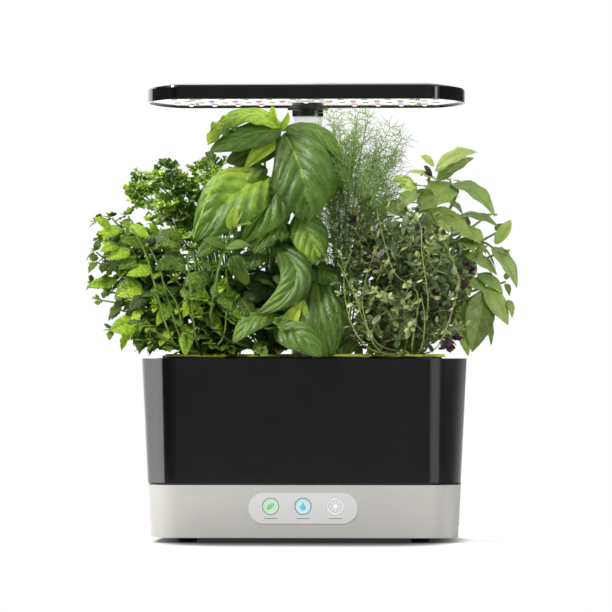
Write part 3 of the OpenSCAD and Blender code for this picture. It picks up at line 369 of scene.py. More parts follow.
# the frame's own materials have these names, so Blender puts a number behind them
FINISH = {mat.name.partition(".")[0]: mat for mat in (
    moulded("silver_shell", (0.475, 0.462, 0.436), 0.38, mottle=0.02, specular=0.4),
    moulded("black_shell", (0.0045, 0.0045, 0.0047), 0.13, mottle=0.10, grain_depth=0.00001),
    moulded("panel", (0.640, 0.636, 0.630), 0.45, mottle=0.015, specular=0.35),
    moulded("dark_plastic", (0.022, 0.022, 0.023), 0.5, mottle=0.12, wear=0.05),
    moulded("foot_rubber", (0.018, 0.018, 0.018), 0.7, mottle=0.15, specular=0.25, wear=0.1, grain_depth=0.00008),
    moulded("steel", (0.56, 0.56, 0.57), 0.3, metallic=1.0, streaks=0.4),
    circuit("circuit_board"),
    moulded("switch_body", (0.03, 0.03, 0.033), 0.45),
    moulded("pump_plastic", (0.03, 0.03, 0.034), 0.5, wear=0.06),
    moulded("impeller_plastic", (0.68, 0.65, 0.55), 0.4),
    foam("filter_foam", (0.06, 0.06, 0.055), (0.01, 0.01, 0.01), 1100.0, 0.0006),
    moulded("clear_hose", (0.62, 0.65, 0.62), 0.22),
    moulded("mast_metal", (0.700, 0.686, 0.720), 0.40, streaks=0.25),
    moulded("lead_sheath", (0.55, 0.55, 0.57), 0.5),
    moulded("heat_metal", (0.6, 0.6, 0.61), 0.4, metallic=1.0, streaks=0.5),
    # the reflector has a painted glow: it shines though it is no lamp
    moulded("reflector", (0.78, 0.78, 0.79), 0.3, mottle=0.02, glow=0.47),
    led("led_white", (1.0, 0.93, 0.78), 0.95),
    led("led_red", (0.95, 0.36, 0.50), 0.85),
    led("led_blue", (0.35, 0.42, 0.95), 0.9),
    moulded("basket_plastic", (0.72, 0.72, 0.69), 0.42, mottle=0.03),
    foam("sponge_peat", (0.13, 0.085, 0.05), (0.03, 0.018, 0.01), 600.0, 0.0008),
    label_card("label_card"))}


# ---------------- leaves
def unit(v):
    v = np.asarray(v, float)
    return v / max(np.linalg.norm(v), 1e-9)


def unit_rows(v):
    return v / np.maximum(np.linalg.norm(v, axis=1), 1e-6)[:, None]


def ring_quads(rings, size):
    """The quads between so many rings of size points each."""
    i = np.arange(rings - 1)[:, None] * size
    j = np.arange(size)[None, :]
    nxt = (j + 1) % size
    return np.stack([i + j, i + nxt, i + size + nxt, i + size + j], axis=-1).reshape(-1, 4)


NO_TRIS = np.zeros((0, 3), int)
SHARP_FROM = math.radians(55)
CAPS = {3: [(0, 1, 2)], 4: [(0, 1, 2, 3)], 6: [(0, 1, 2, 3), (0, 3, 4, 5)]}     # a stem's end, by its sides


class Foliage:
    """The leaves and stems of one herb, gathered into one mesh. Lengths are in mm."""

    def __init__(self):
        self.points, self.quads, self.tris, self.uvs, self.tints = [], [], [NO_TRIS], [], []
        self.count = 0

    def add(self, rings, quads, tris, uv, tint):
        self.points.append(rings.reshape(-1, 3))
        self.quads.append(quads + self.count)
        self.tris.append(tris + self.count)
        self.uvs.append(np.stack(uv, axis=-1))
        self.tints.append(np.stack(np.broadcast_arrays(*tint, 1.0), axis=-1))
        self.count += len(uv[0])

    def leaf(self, base, tip, width, face, mid=None, purple=False, arch=0.0, fold=0.3, cup=0.15,
             ruffle=0.0, waves=3.0, pucker=0.0, veins=7, slant=0.35, teeth=0, bite=0.0, shape=(0.55, 0.85), twist=0.0,
             thick=0.4, along=20, across=5, tone=(0.5, 0.5), phase=0.0, side_tone=0.0):
        """A leaf as a thin closed shell from base to tip, its upper side turned towards face."""
        base, tip = np.asarray(base, float), np.asarray(tip, float)
        face = unit(face)
        middle = (base + tip) / 2 + face * arch if mid is None else np.asarray(mid, float)
        bend = 2 * middle - (base + tip) / 2
        t = np.linspace(0, 1, along + 1)[:, None]
        spine = (1 - t) ** 2 * base + 2 * t * (1 - t) * bend + t ** 2 * tip
        run = unit_rows(2 * (1 - t) * (bend - base) + 2 * t * (tip - bend))
        side = unit_rows(np.cross(run, face))
        up = np.cross(side, run)
        turn = twist * (t - 0.3)
        side, up = side * np.cos(turn) + up * np.sin(turn), up * np.cos(turn) - side * np.sin(turn)
        a, b = shape
        outline = t ** a * (1 - t) ** b / ((a / (a + b)) ** a * (b / (a + b)) ** b)
        if teeth:
            outline = outline * (1 - bite * (1 - np.mod(t * teeth, 1.0)))
        half = width / 2 * np.maximum(outline, 0.015)
        v = np.linspace(-1, 1, 2 * across + 1)[None, :]
        av = np.abs(v)
        lateral = half * v * math.cos(fold)
        rise = half * av * math.sin(fold) - cup * half * v * v
        if ruffle:
            rise = rise + ruffle * half * av ** 2.2 * np.sin(2 * math.pi * waves * t + phase + 1.7 * np.sign(v))
        if pucker:
            between = np.abs(np.sin(math.pi * veins * (t - slant * av) + phase * 0.3)) ** 0.7
            swell = between * (0.3 + 0.7 * av) * (1 - av ** 4) * np.sin(math.pi * t) ** 0.4
            rise = rise + pucker * width * (swell - 0.35 * (1 - av) ** 4)
        grid = spine[:, None, :] + side[:, None, :] * lateral[..., None] + up[:, None, :] * rise[..., None]
        half_thick = (thick / 2 * (1 - 0.65 * v * v) * (1 - 0.5 * t))[..., None]
        upper, lower = grid + up[:, None, :] * half_thick, grid - up[:, None, :] * half_thick
        ring = np.concatenate([upper, lower[:, ::-1]], axis=1)
        m = ring.shape[1]
        k = np.arange(m // 2 - 1)
        first = np.stack([k + 1, k, m - 1 - k, m - 2 - k], axis=-1)
        quads = np.concatenate([ring_quads(along + 1, m), first, first[:, ::-1] + along * m])
        run_u = np.repeat(t[:, 0], m)
        run_v = np.tile(np.concatenate([v[0], v[0, ::-1]]) * 0.5 + 0.5, along + 1)
        # painted light: one side of the leaf is lighter than the other
        shade = tone[0] + (tone[1] - tone[0]) * run_u + side_tone * (run_v - 0.5)
        chance = 2.0 if purple else rng.random()
        self.add(ring, quads, NO_TRIS, (run_u, run_v), (shade, chance, 0.0))

    def stalk(self, points, r0, r1, sides=6, tone=0.6, steps=3):
        """A tapering stem through the points. Returns the points of its smoothed line."""
        p = np.asarray(points, float)
        if len(p) > 2:
            ext = np.vstack([2 * p[0] - p[1], p, 2 * p[-1] - p[-2]])
            out = []
            for k in range(1, len(ext) - 2):
                a, b, c, d = ext[k - 1:k + 3]
                for u in (s / steps for s in range(steps)):
                    out.append(0.5 * (2 * b + (c - a) * u + (2 * a - 5 * b + 4 * c - d) * u * u
                                      + (3 * b - a - 3 * c + d) * u ** 3))
            p = np.vstack([out, p[-1]])
        n = len(p)
        run = unit_rows(np.gradient(p, axis=0))
        # any direction that the stem doesn't run in
        hint = (0.31, 0.17, 0.93) if abs(unit(p[-1] - p[0])[2]) < 0.9 else (0.93, 0.31, 0.17)
        side = unit_rows(np.cross(run, np.array(hint)))
        up = np.cross(side, run)
        r = np.linspace(r0, r1, n)[:, None, None]
        a = (np.arange(sides) * 2 * math.pi / sides)[None, :, None]
        ring = p[:, None, :] + r * (side[:, None, :] * np.cos(a) + up[:, None, :] * np.sin(a))
        quads, tris = ring_quads(n, sides), NO_TRIS
        caps = np.array(CAPS[sides])
        ends = np.concatenate([caps[:, ::-1], caps + (n - 1) * sides])
        if sides == 3:
            tris = ends
        else:
            quads = np.concatenate([quads, ends])
        run_u, run_v = np.repeat(np.linspace(0, 1, n), sides), np.tile(np.arange(sides) / sides, n)
        self.add(ring, quads, tris, (run_u, run_v), (np.full(n * sides, tone), rng.random(), 1.0))
        return p

    def build(self, name, node, mat, slot):
        points = keep_clear(np.concatenate(self.points)) * MM
        quads, tris = np.concatenate(self.quads), np.concatenate(self.tris)
        mesh = bpy.data.meshes.new(name)
        mesh.vertices.add(len(points))
        mesh.vertices.foreach_set("co", points.ravel())
        corners = np.concatenate([quads.ravel(), tris.ravel()])
        starts = np.concatenate([np.arange(len(quads)) * 4, len(quads) * 4 + np.arange(len(tris)) * 3])
        mesh.loops.add(len(corners))
        mesh.loops.foreach_set("vertex_index", corners)
        mesh.polygons.add(len(starts))
        mesh.polygons.foreach_set("loop_start", starts)
        mesh.update(calc_edges=True)
        mesh.uv_layers.new(name="UVMap").data.foreach_set("uv", np.concatenate(self.uvs)[corners].ravel())
        tint = mesh.color_attributes.new("tint", "FLOAT_COLOR", "POINT")
        tint.data.foreach_set("color", np.concatenate(self.tints).ravel())
        mesh.validate()
        mesh.shade_smooth()
        mesh.set_sharp_from_angle(angle=SHARP_FROM)
        mesh.materials.append(mat)
        obj = add_object(name, mesh)
        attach(obj, "stand")
        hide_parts(node)


# The room that the foliage keeps to (mm)
MAST, MAST_CLEAR = np.array([0.0, 40.0]), 16.5
LEAF_X, LEAF_Y, LEAF_TOP = 182.0, 92.0, 359.5
SIDE_EASE, TOP_EASE = 9, 6                   # how far before those limits a point begins to slow down
LEAF_FLOOR = 156                             # a leaf whose end would hang lower is left out
FLAP_ROOM = (-129.5, -87.3, 21.0, 184.0)     # x from, x to, y from, z to
FLOORS = ((134.5, 77.5, 151.6), (128.0, 71.0, 152.6))     # half length, half width and top of the rim and the deck


def eased(value, most, ease):
    """Values above most - ease, slowed down so that they never pass most."""
    return most - ease + ease * np.tanh((value - most + ease) / ease)


def keep_clear(p):
    """Points moved off the mast, out of the lamp, off the rim and into the product's room."""
    p = p.copy()
    off = p[:, :2] - MAST
    r = np.maximum(np.linalg.norm(off, axis=1), 1e-6)
    push = np.maximum(MAST_CLEAR + 0.12 * r, r) / r
    near = r < MAST_CLEAR * 1.14
    p[near, :2] = MAST + off[near] * push[near, None]
    high = p[:, 2] > LEAF_TOP - TOP_EASE
    p[high, 2] = eased(p[high, 2], LEAF_TOP, TOP_EASE)
    for axis, most in ((0, LEAF_X), (1, LEAF_Y)):
        far = np.abs(p[:, axis]) > most - SIDE_EASE
        p[far, axis] = np.sign(p[far, axis]) * eased(np.abs(p[far, axis]), most, SIDE_EASE)
    for half_x, half_y, top in FLOORS:
        over = (np.abs(p[:, 0]) < half_x) & (np.abs(p[:, 1]) < half_y)
        p[over, 2] = np.maximum(p[over, 2], top)
    x0, x1, y0, z1 = FLAP_ROOM
    flap = (p[:, 0] > x0) & (p[:, 0] < x1) & (p[:, 1] > y0) & (p[:, 2] < z1)
    p[flap, 2] = z1 + 0.04 * (p[flap, 2] - z1)
    return p


def in_flap_room(p, margin):
    x0, x1, y0, z1 = FLAP_ROOM
    return x0 - margin < p[0] < x1 + margin and p[1] > y0 - margin and p[2] < z1 + margin


PURPLE = (0.045, 0.016, 0.028)


def leaf_material(name, dark, mid, lime, stem, glow, veins=7, slant=0.35, rough=0.4, through=0.38, vein_gain=0.5,
                  specular=0.5, relief=0.00025, painted_light_patches=0.35, net=None, painted_crease_shade=0.0):
    """A leaf: its tone from the tint attribute (0 dark, 0.5 mid, 1 lime, 1.2 pale, the pale end for painted
    highlights), pale veins, a blade mottled with painted patches of light and shade, and light that shines through. A
    second tint value above 1.5 makes the leaf purple, a third of 1 makes it a stem.
    net is for small veins that split the blade into raised cells: how many cells along and across, how much darker
    the veins are painted, as painted shade in their sunken lines, and how deep. The last argument is how much darker
    the blade is painted beside its side veins: painted shade in the creases."""
    mat, g, place = material(name)
    tint = g.new("ShaderNodeAttribute", attribute_name="tint").outputs["Color"]
    tint_tone, chance, is_stem = g.new("ShaderNodeSeparateColor", {"Color": tint}).outputs
    uv = g.new("ShaderNodeTexCoord").outputs["UV"]
    t, v_share, _ = g.new("ShaderNodeSeparateXYZ", {"Vector": uv}).outputs
    v = g.math("ABSOLUTE", g.scaled(v_share, 2.0, -1.0))
    rib = g.times(g.step(v, 0.065, 0.015), g.scaled(t, -0.5, 1.0))
    phase = g.math("FRACT", g.times(g.minus(t, g.times(v, slant)), float(veins)))
    off = g.math("MINIMUM", phase, g.minus(1.0, phase))
    side_vein = g.times(g.step(off, 0.075, 0.01), g.scaled(v, -0.6, 0.75))
    vein = g.times(g.math("MAXIMUM", rib, side_vein), g.minus(1.0, is_stem))
    fine = g.noise(place, 900.0, 4.0, 0.6)
    slow = g.noise(place, 120.0, 2.0)
    tone = tint_tone
    # the slow noise paints patches of light and shade on the blade; fine and chance are grain and random tone
    for pattern, middle, gain in ((fine, 0.5, 0.25), (slow, 0.5, painted_light_patches), (chance, 0.5, 0.12)):
        tone = g.plus(tone, g.times(g.minus(pattern, middle), gain))
    height = g.minus(g.times(fine, 0.5), g.times(vein, 0.8))
    if net:
        spot = g.new("ShaderNodeCombineXYZ", {0: g.times(t, net[0]), 1: g.times(v_share, net[1]),
                                              2: g.times(chance, 37.0)})     # so each leaf has cells of its own
        raised = g.step(g.voronoi(spot, 1.0, feature="DISTANCE_TO_EDGE"), 0.0, 0.26)
        # painted shade: the small veins' sunken lines are darker
        tone = g.plus(tone, g.times(g.minus(raised, 1.0), net[2]))
        height = g.plus(height, g.times(raised, net[3]))
    if painted_crease_shade:
        # painted shade in the creases beside the side veins
        tone = g.plus(tone, g.times(g.minus(g.step(off, 0.03, 0.34), 1.0), painted_crease_shade))
    blade = g.ramp(g.times(tone, 0.84), [(0.0, dark), (0.42, mid), (0.84, lime), (1.0, lighter(lime, 0.45, 0.55))])
    blade = g.mix(g.math("GREATER_THAN", chance, 1.5), blade, g.mix(fine, PURPLE, darker(PURPLE, 1.8)))
    col = g.mix(g.times(vein, vein_gain), blade, g.mix(0.45, blade, lighter(lime, 1.35, 0.06)))
    col = g.mix(is_stem, col, g.mix(g.scaled(slow, 0.8, -0.1), stem, darker(stem, 0.6)))
    normal = g.bump(height, 0.6, relief)
    top = g.principled(col, g.scaled(fine, 0.2, rough - 0.1), normal, specular=specular)
    shine = g.new("ShaderNodeBsdfTranslucent", {"Color": g.mix(0.55, col, glow), "Normal": normal})
    g.surface(g.new("ShaderNodeMixShader", {0: through, 1: top, 2: shine}))
    return mat


# ---------------- shared growth
POD = {"mint": (-90, -32), "basil": (-30, -32), "dill": (30, -32), "thyme": (90, -32), "parsley": (-64, 30),
       "thai_basil": (64, 30)}
SPONGE_TOP = 153.0


def start(herb):
    """An empty plant and its root, in the middle of the herb's pod."""
    return Foliage(), np.array([*POD[herb], SPONGE_TOP])


def foot(root, tip, low, high):
    """Where the shoot to tip leaves the sponge, from low to high mm out from its middle."""
    return root + np.append(unit(tip[:2] - root[:2]) * rng.uniform(low, high), 0.0)


def shoot_path(a, b, bow, wobble=0.0):
    """Points of a stem that rises from a and leans over to b."""
    c = a + UP * np.linalg.norm(b - a) * bow + (b - a) * 0.25
    pts = []
    for u in (0, 0.25, 0.5, 0.75, 1):
        q = (1 - u) ** 2 * a + 2 * u * (1 - u) * c + u * u * b
        pts.append(q + rng.normal(0, wobble, 3) if wobble and 0 < u < 1 else q)
    return pts


def along_path(p, u):
    """The point and direction a share u along the polyline p."""
    k = u * (len(p) - 1)
    i = min(int(k), len(p) - 2)
    return p[i] + (p[i + 1] - p[i]) * (k - i), unit(p[i + 1] - p[i])


def nodes_down(path, length, pitch, most, lowest):
    """The nodes of a shoot from its tip down, pitch mm apart: number, point and direction."""
    for k in range(most):
        u = 1 - k * pitch / length
        if u < lowest:
            break
        yield (k, *along_path(path, u))


def across_of(direction, angle):
    """A unit vector square to direction, turned by angle about it."""
    s = unit(np.cross(direction, UP if abs(direction[2]) < 0.95 else np.array([1.0, 0, 0])))
    return s * math.cos(angle) + np.cross(direction, s) * math.sin(angle)


def outward(direction, angle, lean):
    """A unit vector away from a stem, leaning towards its tip."""
    return unit(across_of(direction, angle) + direction * lean)


def low_fill(f, root, low, high, count, leaf):
    """Leaves on short stems that fill the room between low and high (mm), near the pod."""
    for _ in range(count):
        c = rng.uniform(low, high)
        if in_flap_room(c, 6):
            continue
        out = unit(np.append(c[:2] - root[:2], rng.uniform(-8, 14)) + rng.normal(0, 9, 3))
        path = [root + np.append(unit(c[:2] - root[:2]) * 6, 0.5), (root + c) / 2 + 4 * UP, c]
        f.stalk(path, 1.0, 0.7, sides=4, tone=0.25, steps=2)
        leaf(c, out)


def fill_leaf(f, length, width, **blade):
    """What low_fill plants: a leaf whose length and width are drawn from these ranges (mm)."""
    return lambda c, out: f.leaf(c, c + out * rng.uniform(*length), rng.uniform(*width),
                                 face=(0.1 * out[0], -0.5, 0.9), **blade)


def leaf_seen(f, blade, base_x, base_y, tip_x, tip_y, base_depth, tip_depth, width, face, tone, **more):
    """A leaf by the photograph's pixels of its base and tip."""
    f.leaf(seen(base_x, base_y, base_depth), seen(tip_x, tip_y, tip_depth), width, face=face, tone=tone,
           **{**blade, **more})


def front_stems(f, root, rows, depth, spread, lean, r0, r1):
    """Thin stems in front of a bush, each by the pixels that it passes on its way down to the pod."""
    for pixels in rows:
        curve = [seen(px, py, depth - rng.uniform(0, spread)) for px, py in pixels]
        foot_point = root + np.append(rng.normal(0, 3, 2) + lean, 0.5)
        f.stalk([*curve, foot_point], r0, r1, sides=4, tone=0.3, steps=4)


# ---------------- basil
BASIL_SMALL = dict(pucker=0.06, veins=5, slant=0.42)
BASIL_BIG = dict(BASIL_SMALL, along=46, across=12, pucker=0.11, thick=0.5, shape=(0.5, 0.72), cup=0.35, fold=0.18)
BASIL_BACK = dict(BASIL_SMALL, across=6, pucker=0.04, fold=0.2, cup=0.35, ruffle=0.08, waves=2.5, thick=0.45)
BIG_FROM = 17                       # mm of width above which a leaf is modelled finely
BASIL_SHOOTS = (    # their tips, in mm
    (-62, -20, 250), (-52, 6, 280), (-20, 8, 300), (2, -12, 296), (-66, -40, 205), (-42, -50, 215), (-10, -50, 200),
    (14, -30, 225), (-24, 14, 230), (-58, 8, 215), (8, 4, 250), (-34, -8, 318), (-4, -38, 255))


def grow_basil():
    f, root = start("basil")
    trunk = f.stalk([root, *seen_all((270, 300, -30), (276, 210, -28), (279, 128, -33))], 3.4, 1.8, tone=0.5)

    def place(bx, by, mx, my, tx, ty, depths, width, face, tone, twig=None, **more):
        """One leaf by the photograph's pixels of its base, middle and tip, and its depths there (mm)."""
        b, m, e = seen(bx, by, depths[0]), seen(mx, my, depths[1]), seen(tx, ty, depths[2])
        f.leaf(b, e, width, face=face, mid=m, tone=tone, **{**(BASIL_BIG if width > BIG_FROM else BASIL_SMALL), **more})
        if twig is not None:
            stem, _ = along_path(trunk, twig)
            f.stalk([stem, (stem + b) / 2 + np.array([0, 3, 4]), b], 1.5, 1.0, tone=0.65)

    # crown: the young leaves, the arched pair and the big pair under the lamp
    place(277, 129, 274, 116, 273, 103, (-33, -36, -37), 10, (-0.5, -0.8, 0.3), (0.9, 1.05), fold=0.6)
    place(279, 129, 285, 121, 288, 112, (-33, -33, -32), 8, (0.6, -0.7, 0.3), (0.8, 0.95), fold=0.6)
    place(277, 130, 268, 120, 262, 116, (-31, -33, -35), 8, (-0.5, -0.7, 0.5), (0.8, 0.95), fold=0.5)
    place(281, 127, 245, 113, 207, 138, (-33, -38, -42), 27, (-0.1, -0.5, 0.85), (0.95, 0.7), cup=0.4, ruffle=0.07,
          twig=0.93)
    place(281, 130, 246, 135, 210, 151, (-34, -46, -52), 27, (-0.1, -0.85, 0.5), (0.36, 0.5), cup=0.4, ruffle=0.08)
    place(240, 122, 222, 128, 208, 145, (-38, -46, -52), 19, (-0.2, -0.75, 0.6), (0.55, 1.0), ruffle=0.35, waves=3.5,
          cup=0.1, side_tone=0.5)
    place(285, 128, 318, 131, 341, 157, (-32, -38, -42), 29, (0.15, -0.45, 0.9), (0.30, 0.62), cup=0.45)
    place(325, 140, 335, 146, 341, 158, (-34, -38, -40), 10, (0.3, -0.8, 0.5), (0.95, 1.1), ruffle=0.2)
    place(284, 131, 294, 126, 303, 128, (-26, -16, -8), 20, (0.1, 0.1, 1), (0.6, 0.7))
    # the three that droop down the front
    place(290, 130, 322, 160, 324, 205, (-30, -46, -50), 36, (0.35, -0.9, 0.25), (0.26, 0.40), cup=0.4, pucker=0.09)
    place(284, 133, 302, 176, 305, 222, (-36, -76, -68), 53, (-0.10, -1, 0.14), (0.26, 0.44), cup=0.5, pucker=0.125,
          ruffle=0.03, shape=(0.45, 0.6), twist=0.35, side_tone=-0.2)
    place(297, 214, 311, 238, 317, 265, (-42, -54, -56), 31, (0.15, -0.95, 0.25), (0.45, 0.8), side_tone=0.3, cup=0.3)
    # left side: the bright leaf that the light shines through, painted lime for it, its rolled edge and what lies under
    # it
    place(268, 176, 231, 197, 195, 241, (-34, -60, -58), 54, (-0.22, -0.92, 0.3), (0.96, 0.44), side_tone=0.12,
          cup=0.3, twig=0.62)
    # the rolled edge is a thin lime strip that stands for a painted highlight along the margin
    place(226, 160, 208, 197, 193, 240, (-52, -66, -62), 2.0, (-0.8, -0.6, 0.3), (0.9, 1.0), fold=0.5, pucker=0.0,
          along=30, across=3, shape=(0.3, 0.3), ruffle=0.25, waves=6)
    place(268, 170, 240, 172, 214, 198, (-30, -38, -42), 34, (-0.3, -0.5, 0.8), (0.55, 0.7))
    place(287, 182, 268, 204, 242, 242, (-40, -57, -60), 40, (-0.15, -0.94, 0.3), (0.26, 0.40), cup=0.4, side_tone=-0.3)
    place(281, 138, 254, 150, 226, 162, (-30, -34, -36), 28, (-0.1, -0.85, 0.5), (0.05, 0.2))
    place(277, 142, 262, 150, 244, 170, (-36, -40, -43), 17, (-0.3, -0.9, 0.3), (0.85, 1.05))
    place(273, 232, 250, 236, 224, 251, (-40, -52, -54), 24, (-0.15, -0.6, 0.8), (0.3, 0.5))
    # the lime sprig in front of them
    f.stalk([root + (0, -6, 1), *seen_all((214, 330, -66), (216, 283, -74), (224, 250, -78), (233, 226, -79))],
            1.2, 0.8, tone=0.9)
    for bx, by, tx, ty, width, tone in (
            (232, 228, 236, 206, 10, (0.75, 0.9)), (233, 226, 252, 224, 10, (0.55, 0.7)),
            (231, 229, 227, 217, 8, (0.9, 1.05)), (225, 248, 203, 240, 13, (0.4, 0.5)),
            (225, 248, 250, 246, 14, (0.45, 0.5)), (233, 226, 243, 212, 8, (0.7, 0.8))):
        place(bx, by, (bx + tx) / 2, (by + ty) / 2 - 2, tx, ty, (-79, -81, -82), width, (0, -0.6, 0.8), tone)
    # the middle: the crumpled one, the hooked one and two given dark tones as painted shade
    place(293, 232, 272, 229, 254, 254, (-42, -54, -60), 27, (-0.1, -0.8, 0.6), (0.42, 0.58), ruffle=0.25, waves=4,
          twig=0.42)
    place(274, 245, 296, 279, 257, 314, (-46, -76, -72), 27, (0.1, -0.95, 0.3), (0.34, 0.58), cup=0.3, twig=0.34,
          side_tone=0.3)
    place(274, 280, 258, 288, 241, 310, (-46, -54, -56), 25, (-0.3, -0.85, 0.0), (-0.05, 0.05))
    place(297, 262, 288, 272, 274, 290, (-36, -42, -44), 22, (-0.2, -0.8, 0.5), (0.25, 0.35))
    # the domed leaf at the front right of the rim, pleated from end to end
    place(318, 279, 321, 317, 329, 362, (-50, -75, -70), 47, (0.08, -1, 0.16), (0.32, 0.44), slant=2.0, veins=1.6,
          pucker=0.10, cup=0.5, across=15, twig=0.2)
    # low leaves over the rim
    place(274, 317, 254, 318, 233, 343, (-60, -74, -78), 26, (-0.25, -0.75, 0.6), (0.42, 0.66), twig=0.1)
    place(275, 327, 299, 334, 321, 357, (-66, -82, -84), 31, (0.05, -0.88, 0.45), (0.44, 0.56), ruffle=0.06)
    place(292, 322, 300, 312, 303, 300, (-64, -74, -74), 15, (0.1, -0.9, 0.4), (0.8, 1.0))
    place(264, 341, 260, 348, 257, 359, (-60, -68, -70), 13, (-0.2, -0.8, 0.5), (0.5, 0.6))
    place(288, 330, 293, 316, 301, 305, (-66, -74, -74), 14, (-0.1, -0.9, 0.3), (0.95, 1.1))
    # one at either side, halfway up
    place(262, 254, 250, 258, 236, 274, (-40, -48, -50), 26, (-0.5, -0.7, 0.45), (0.25, 0.4))
    place(310, 268, 324, 272, 338, 292, (-40, -50, -54), 26, (0.4, -0.8, 0.4), (0.25, 0.35))
    # rosettes of small crinkled leaves
    for middle in ((279, 323, -80), (262, 352, -76)):
        c = seen(*middle)
        for a in (k * 2.4 for k in range(6)):
            out = np.array([math.cos(a), -0.6 + 0.3 * math.sin(a), math.sin(a) * 0.8 + 0.2])
            f.leaf(c, c + unit(out) * rng.uniform(6, 9), rng.uniform(5, 7), face=(0.2 * out[0], -1, 0.4), fold=0.6,
                   ruffle=0.4, along=12, across=3, tone=(0.5, 0.75), thick=0.35)
    # the rest of the bush: big leaves on shoots, all round
    for tip in np.array(BASIL_SHOOTS, float):
        path = shoot_path(root + np.append(unit(tip[:2] - root[:2]) * 3, 0), tip, 0.35)
        path = f.stalk(path, 2.0, 1.0, tone=0.4)
        for k in range(4):
            c, d = along_path(path, 1 - 0.2 * k)
            for s in (0, math.pi):
                out = across_of(d, s + k * math.pi / 2 + rng.uniform(-0.3, 0.3))
                size = rng.uniform(26, 36) * (0.65 + 0.15 * k if k < 3 else 1.0)
                drop = rng.uniform(0.1, 0.75)
                end = c + out * size * 0.9 + np.array([0, 0, -drop * size * 0.6])
                if c[2] < LEAF_FLOOR + 12 or end[2] < LEAF_FLOOR:
                    continue
                # painted shade: the leaves at the back of the bush get a darker tone
                shade = 0.12 if end[1] > -30 else 0.3
                f.leaf(c + out * 2, end, size * rng.uniform(0.6, 0.72), face=unit(out * 0.35 + UP), arch=size * 0.12,
                       tone=(shade, shade + 0.2), **BASIL_BACK)
    low_fill(f, root, (-76, -62, 157), (8, 6, 176), 40, fill_leaf(
        f, (18, 26), (13, 17), arch=2, cup=0.3, tone=(0.1, 0.35), pucker=0.03, veins=5, slant=0.42))
    mat = leaf_material(
        "leaf_basil", (0.014, 0.032, 0.002), (0.155, 0.280, 0.038), (0.60, 0.75, 0.06), (0.20, 0.32, 0.07),
        (0.42, 0.66, 0.04), veins=5, slant=0.42, rough=0.48, through=0.40, specular=0.65, net=(15, 9, 0.09, 1.0),
        painted_crease_shade=0.14)
    f.build("BasilFoliage", "herb_basil", mat, "leaf_basil")


# ---------------- mint
MINT_BLADE = dict(fold=0.2, cup=0.3, ruffle=0.14, pucker=0.06, veins=6, slant=0.45, teeth=9, bite=0.18,
                  shape=(0.55, 1.0), along=18, across=3)
MINT_FINE = dict(MINT_BLADE, arch=2, fold=0.15, cup=0.25, ruffle=0.08, teeth=10, shape=(0.52, 0.98), along=30, across=6)
MINT_PITCH = 13.0                   # mm between two pairs of leaves
MINT_TIPS = (       # the tips of the shoots: pixel and depth
    (92, 284, -36), (112, 268, -20), (124, 226, -16), (156, 226, -26), (146, 250, -50), (178, 242, -40),
    (188, 262, -60), (221, 252, -58), (206, 236, -30), (242, 270, -58), (232, 300, -66), (112, 330, -50),
    (130, 300, -62), (160, 292, -70), (186, 332, -74), (205, 300, -72), (150, 326, -70), (216, 330, -70),
    (100, 300, -10), (132, 262, 0), (170, 270, -6), (200, 280, -10), (232, 262, -24), (120, 310, -30),
    (176, 300, -40), (140, 340, -60), (226, 345, -58), (96, 262, -50), (168, 345, -66), (98, 222, -30),
    (112, 218, -20), (128, 216, -28), (102, 238, -40), (120, 236, -44), (138, 236, -40), (96, 252, -34),
    (110, 256, -46), (150, 262, -56), (166, 252, -52), (194, 250, -56), (214, 268, -62), (176, 280, -66),
    (156, 306, -70), (200, 316, -72), (222, 286, -66), (140, 276, -60), (190, 300, -70), (210, 344, -66),
    (182, 346, -64), (154, 340, -60))
MINT_FRONT = (      # leaves in front: pixels of base and tip, width (mm) and tone
    (232, 256, 247, 286, 19, 0.45), (216, 282, 231, 312, 21, 0.5), (206, 272, 186, 296, 19, 0.42),
    (224, 290, 240, 324, 23, 0.52), (180, 260, 154, 270, 17, 0.4), (156, 234, 178, 248, 17, 0.5),
    (168, 252, 186, 274, 18, 0.48), (188, 274, 206, 296, 17, 0.66), (216, 242, 196, 258, 16, 0.5),
    (152, 268, 126, 276, 17, 0.95), (130, 250, 106, 260, 15, 1.0), (120, 230, 97, 234, 12, 1.0),
    (130, 226, 150, 238, 13, 0.95), (110, 226, 94, 218, 10, 1.05), (206, 310, 222, 336, 16, 0.35),
    (172, 302, 156, 326, 15, 0.9), (198, 294, 182, 318, 17, 0.85), (240, 298, 254, 322, 17, 0.3),
    (144, 244, 120, 240, 13, 0.6), (182, 238, 162, 230, 12, 0.55), (118, 244, 100, 252, 12, 0.95),
    (136, 260, 118, 270, 14, 0.5), (146, 296, 128, 312, 15, 0.2), (166, 284, 150, 300, 17, 0.45))
MINT_STEMS = (      # pixels
    ((189, 250), (188, 264), (190, 284), (196, 340)), ((226, 268), (227, 292), (222, 340)),
    ((131, 228), (140, 242), (149, 264), (172, 340)), ((164, 285), (176, 302), (183, 330), (188, 350)),
    ((150, 248), (160, 270), (168, 300), (184, 345)), ((128, 322), (150, 328), (174, 344)))


def mint_leaf(f, c, out, size, tone, droop):
    end = c + out * size * 0.92 + np.array([0, 0, -droop * size * 0.5])
    f.leaf(c + out * 1.5, end, size * rng.uniform(0.62, 0.74), face=unit(out * 0.35 + np.array([0, -0.15, 1])),
           arch=size * 0.08, tone=tone, phase=rng.uniform(0, 6), **MINT_BLADE)


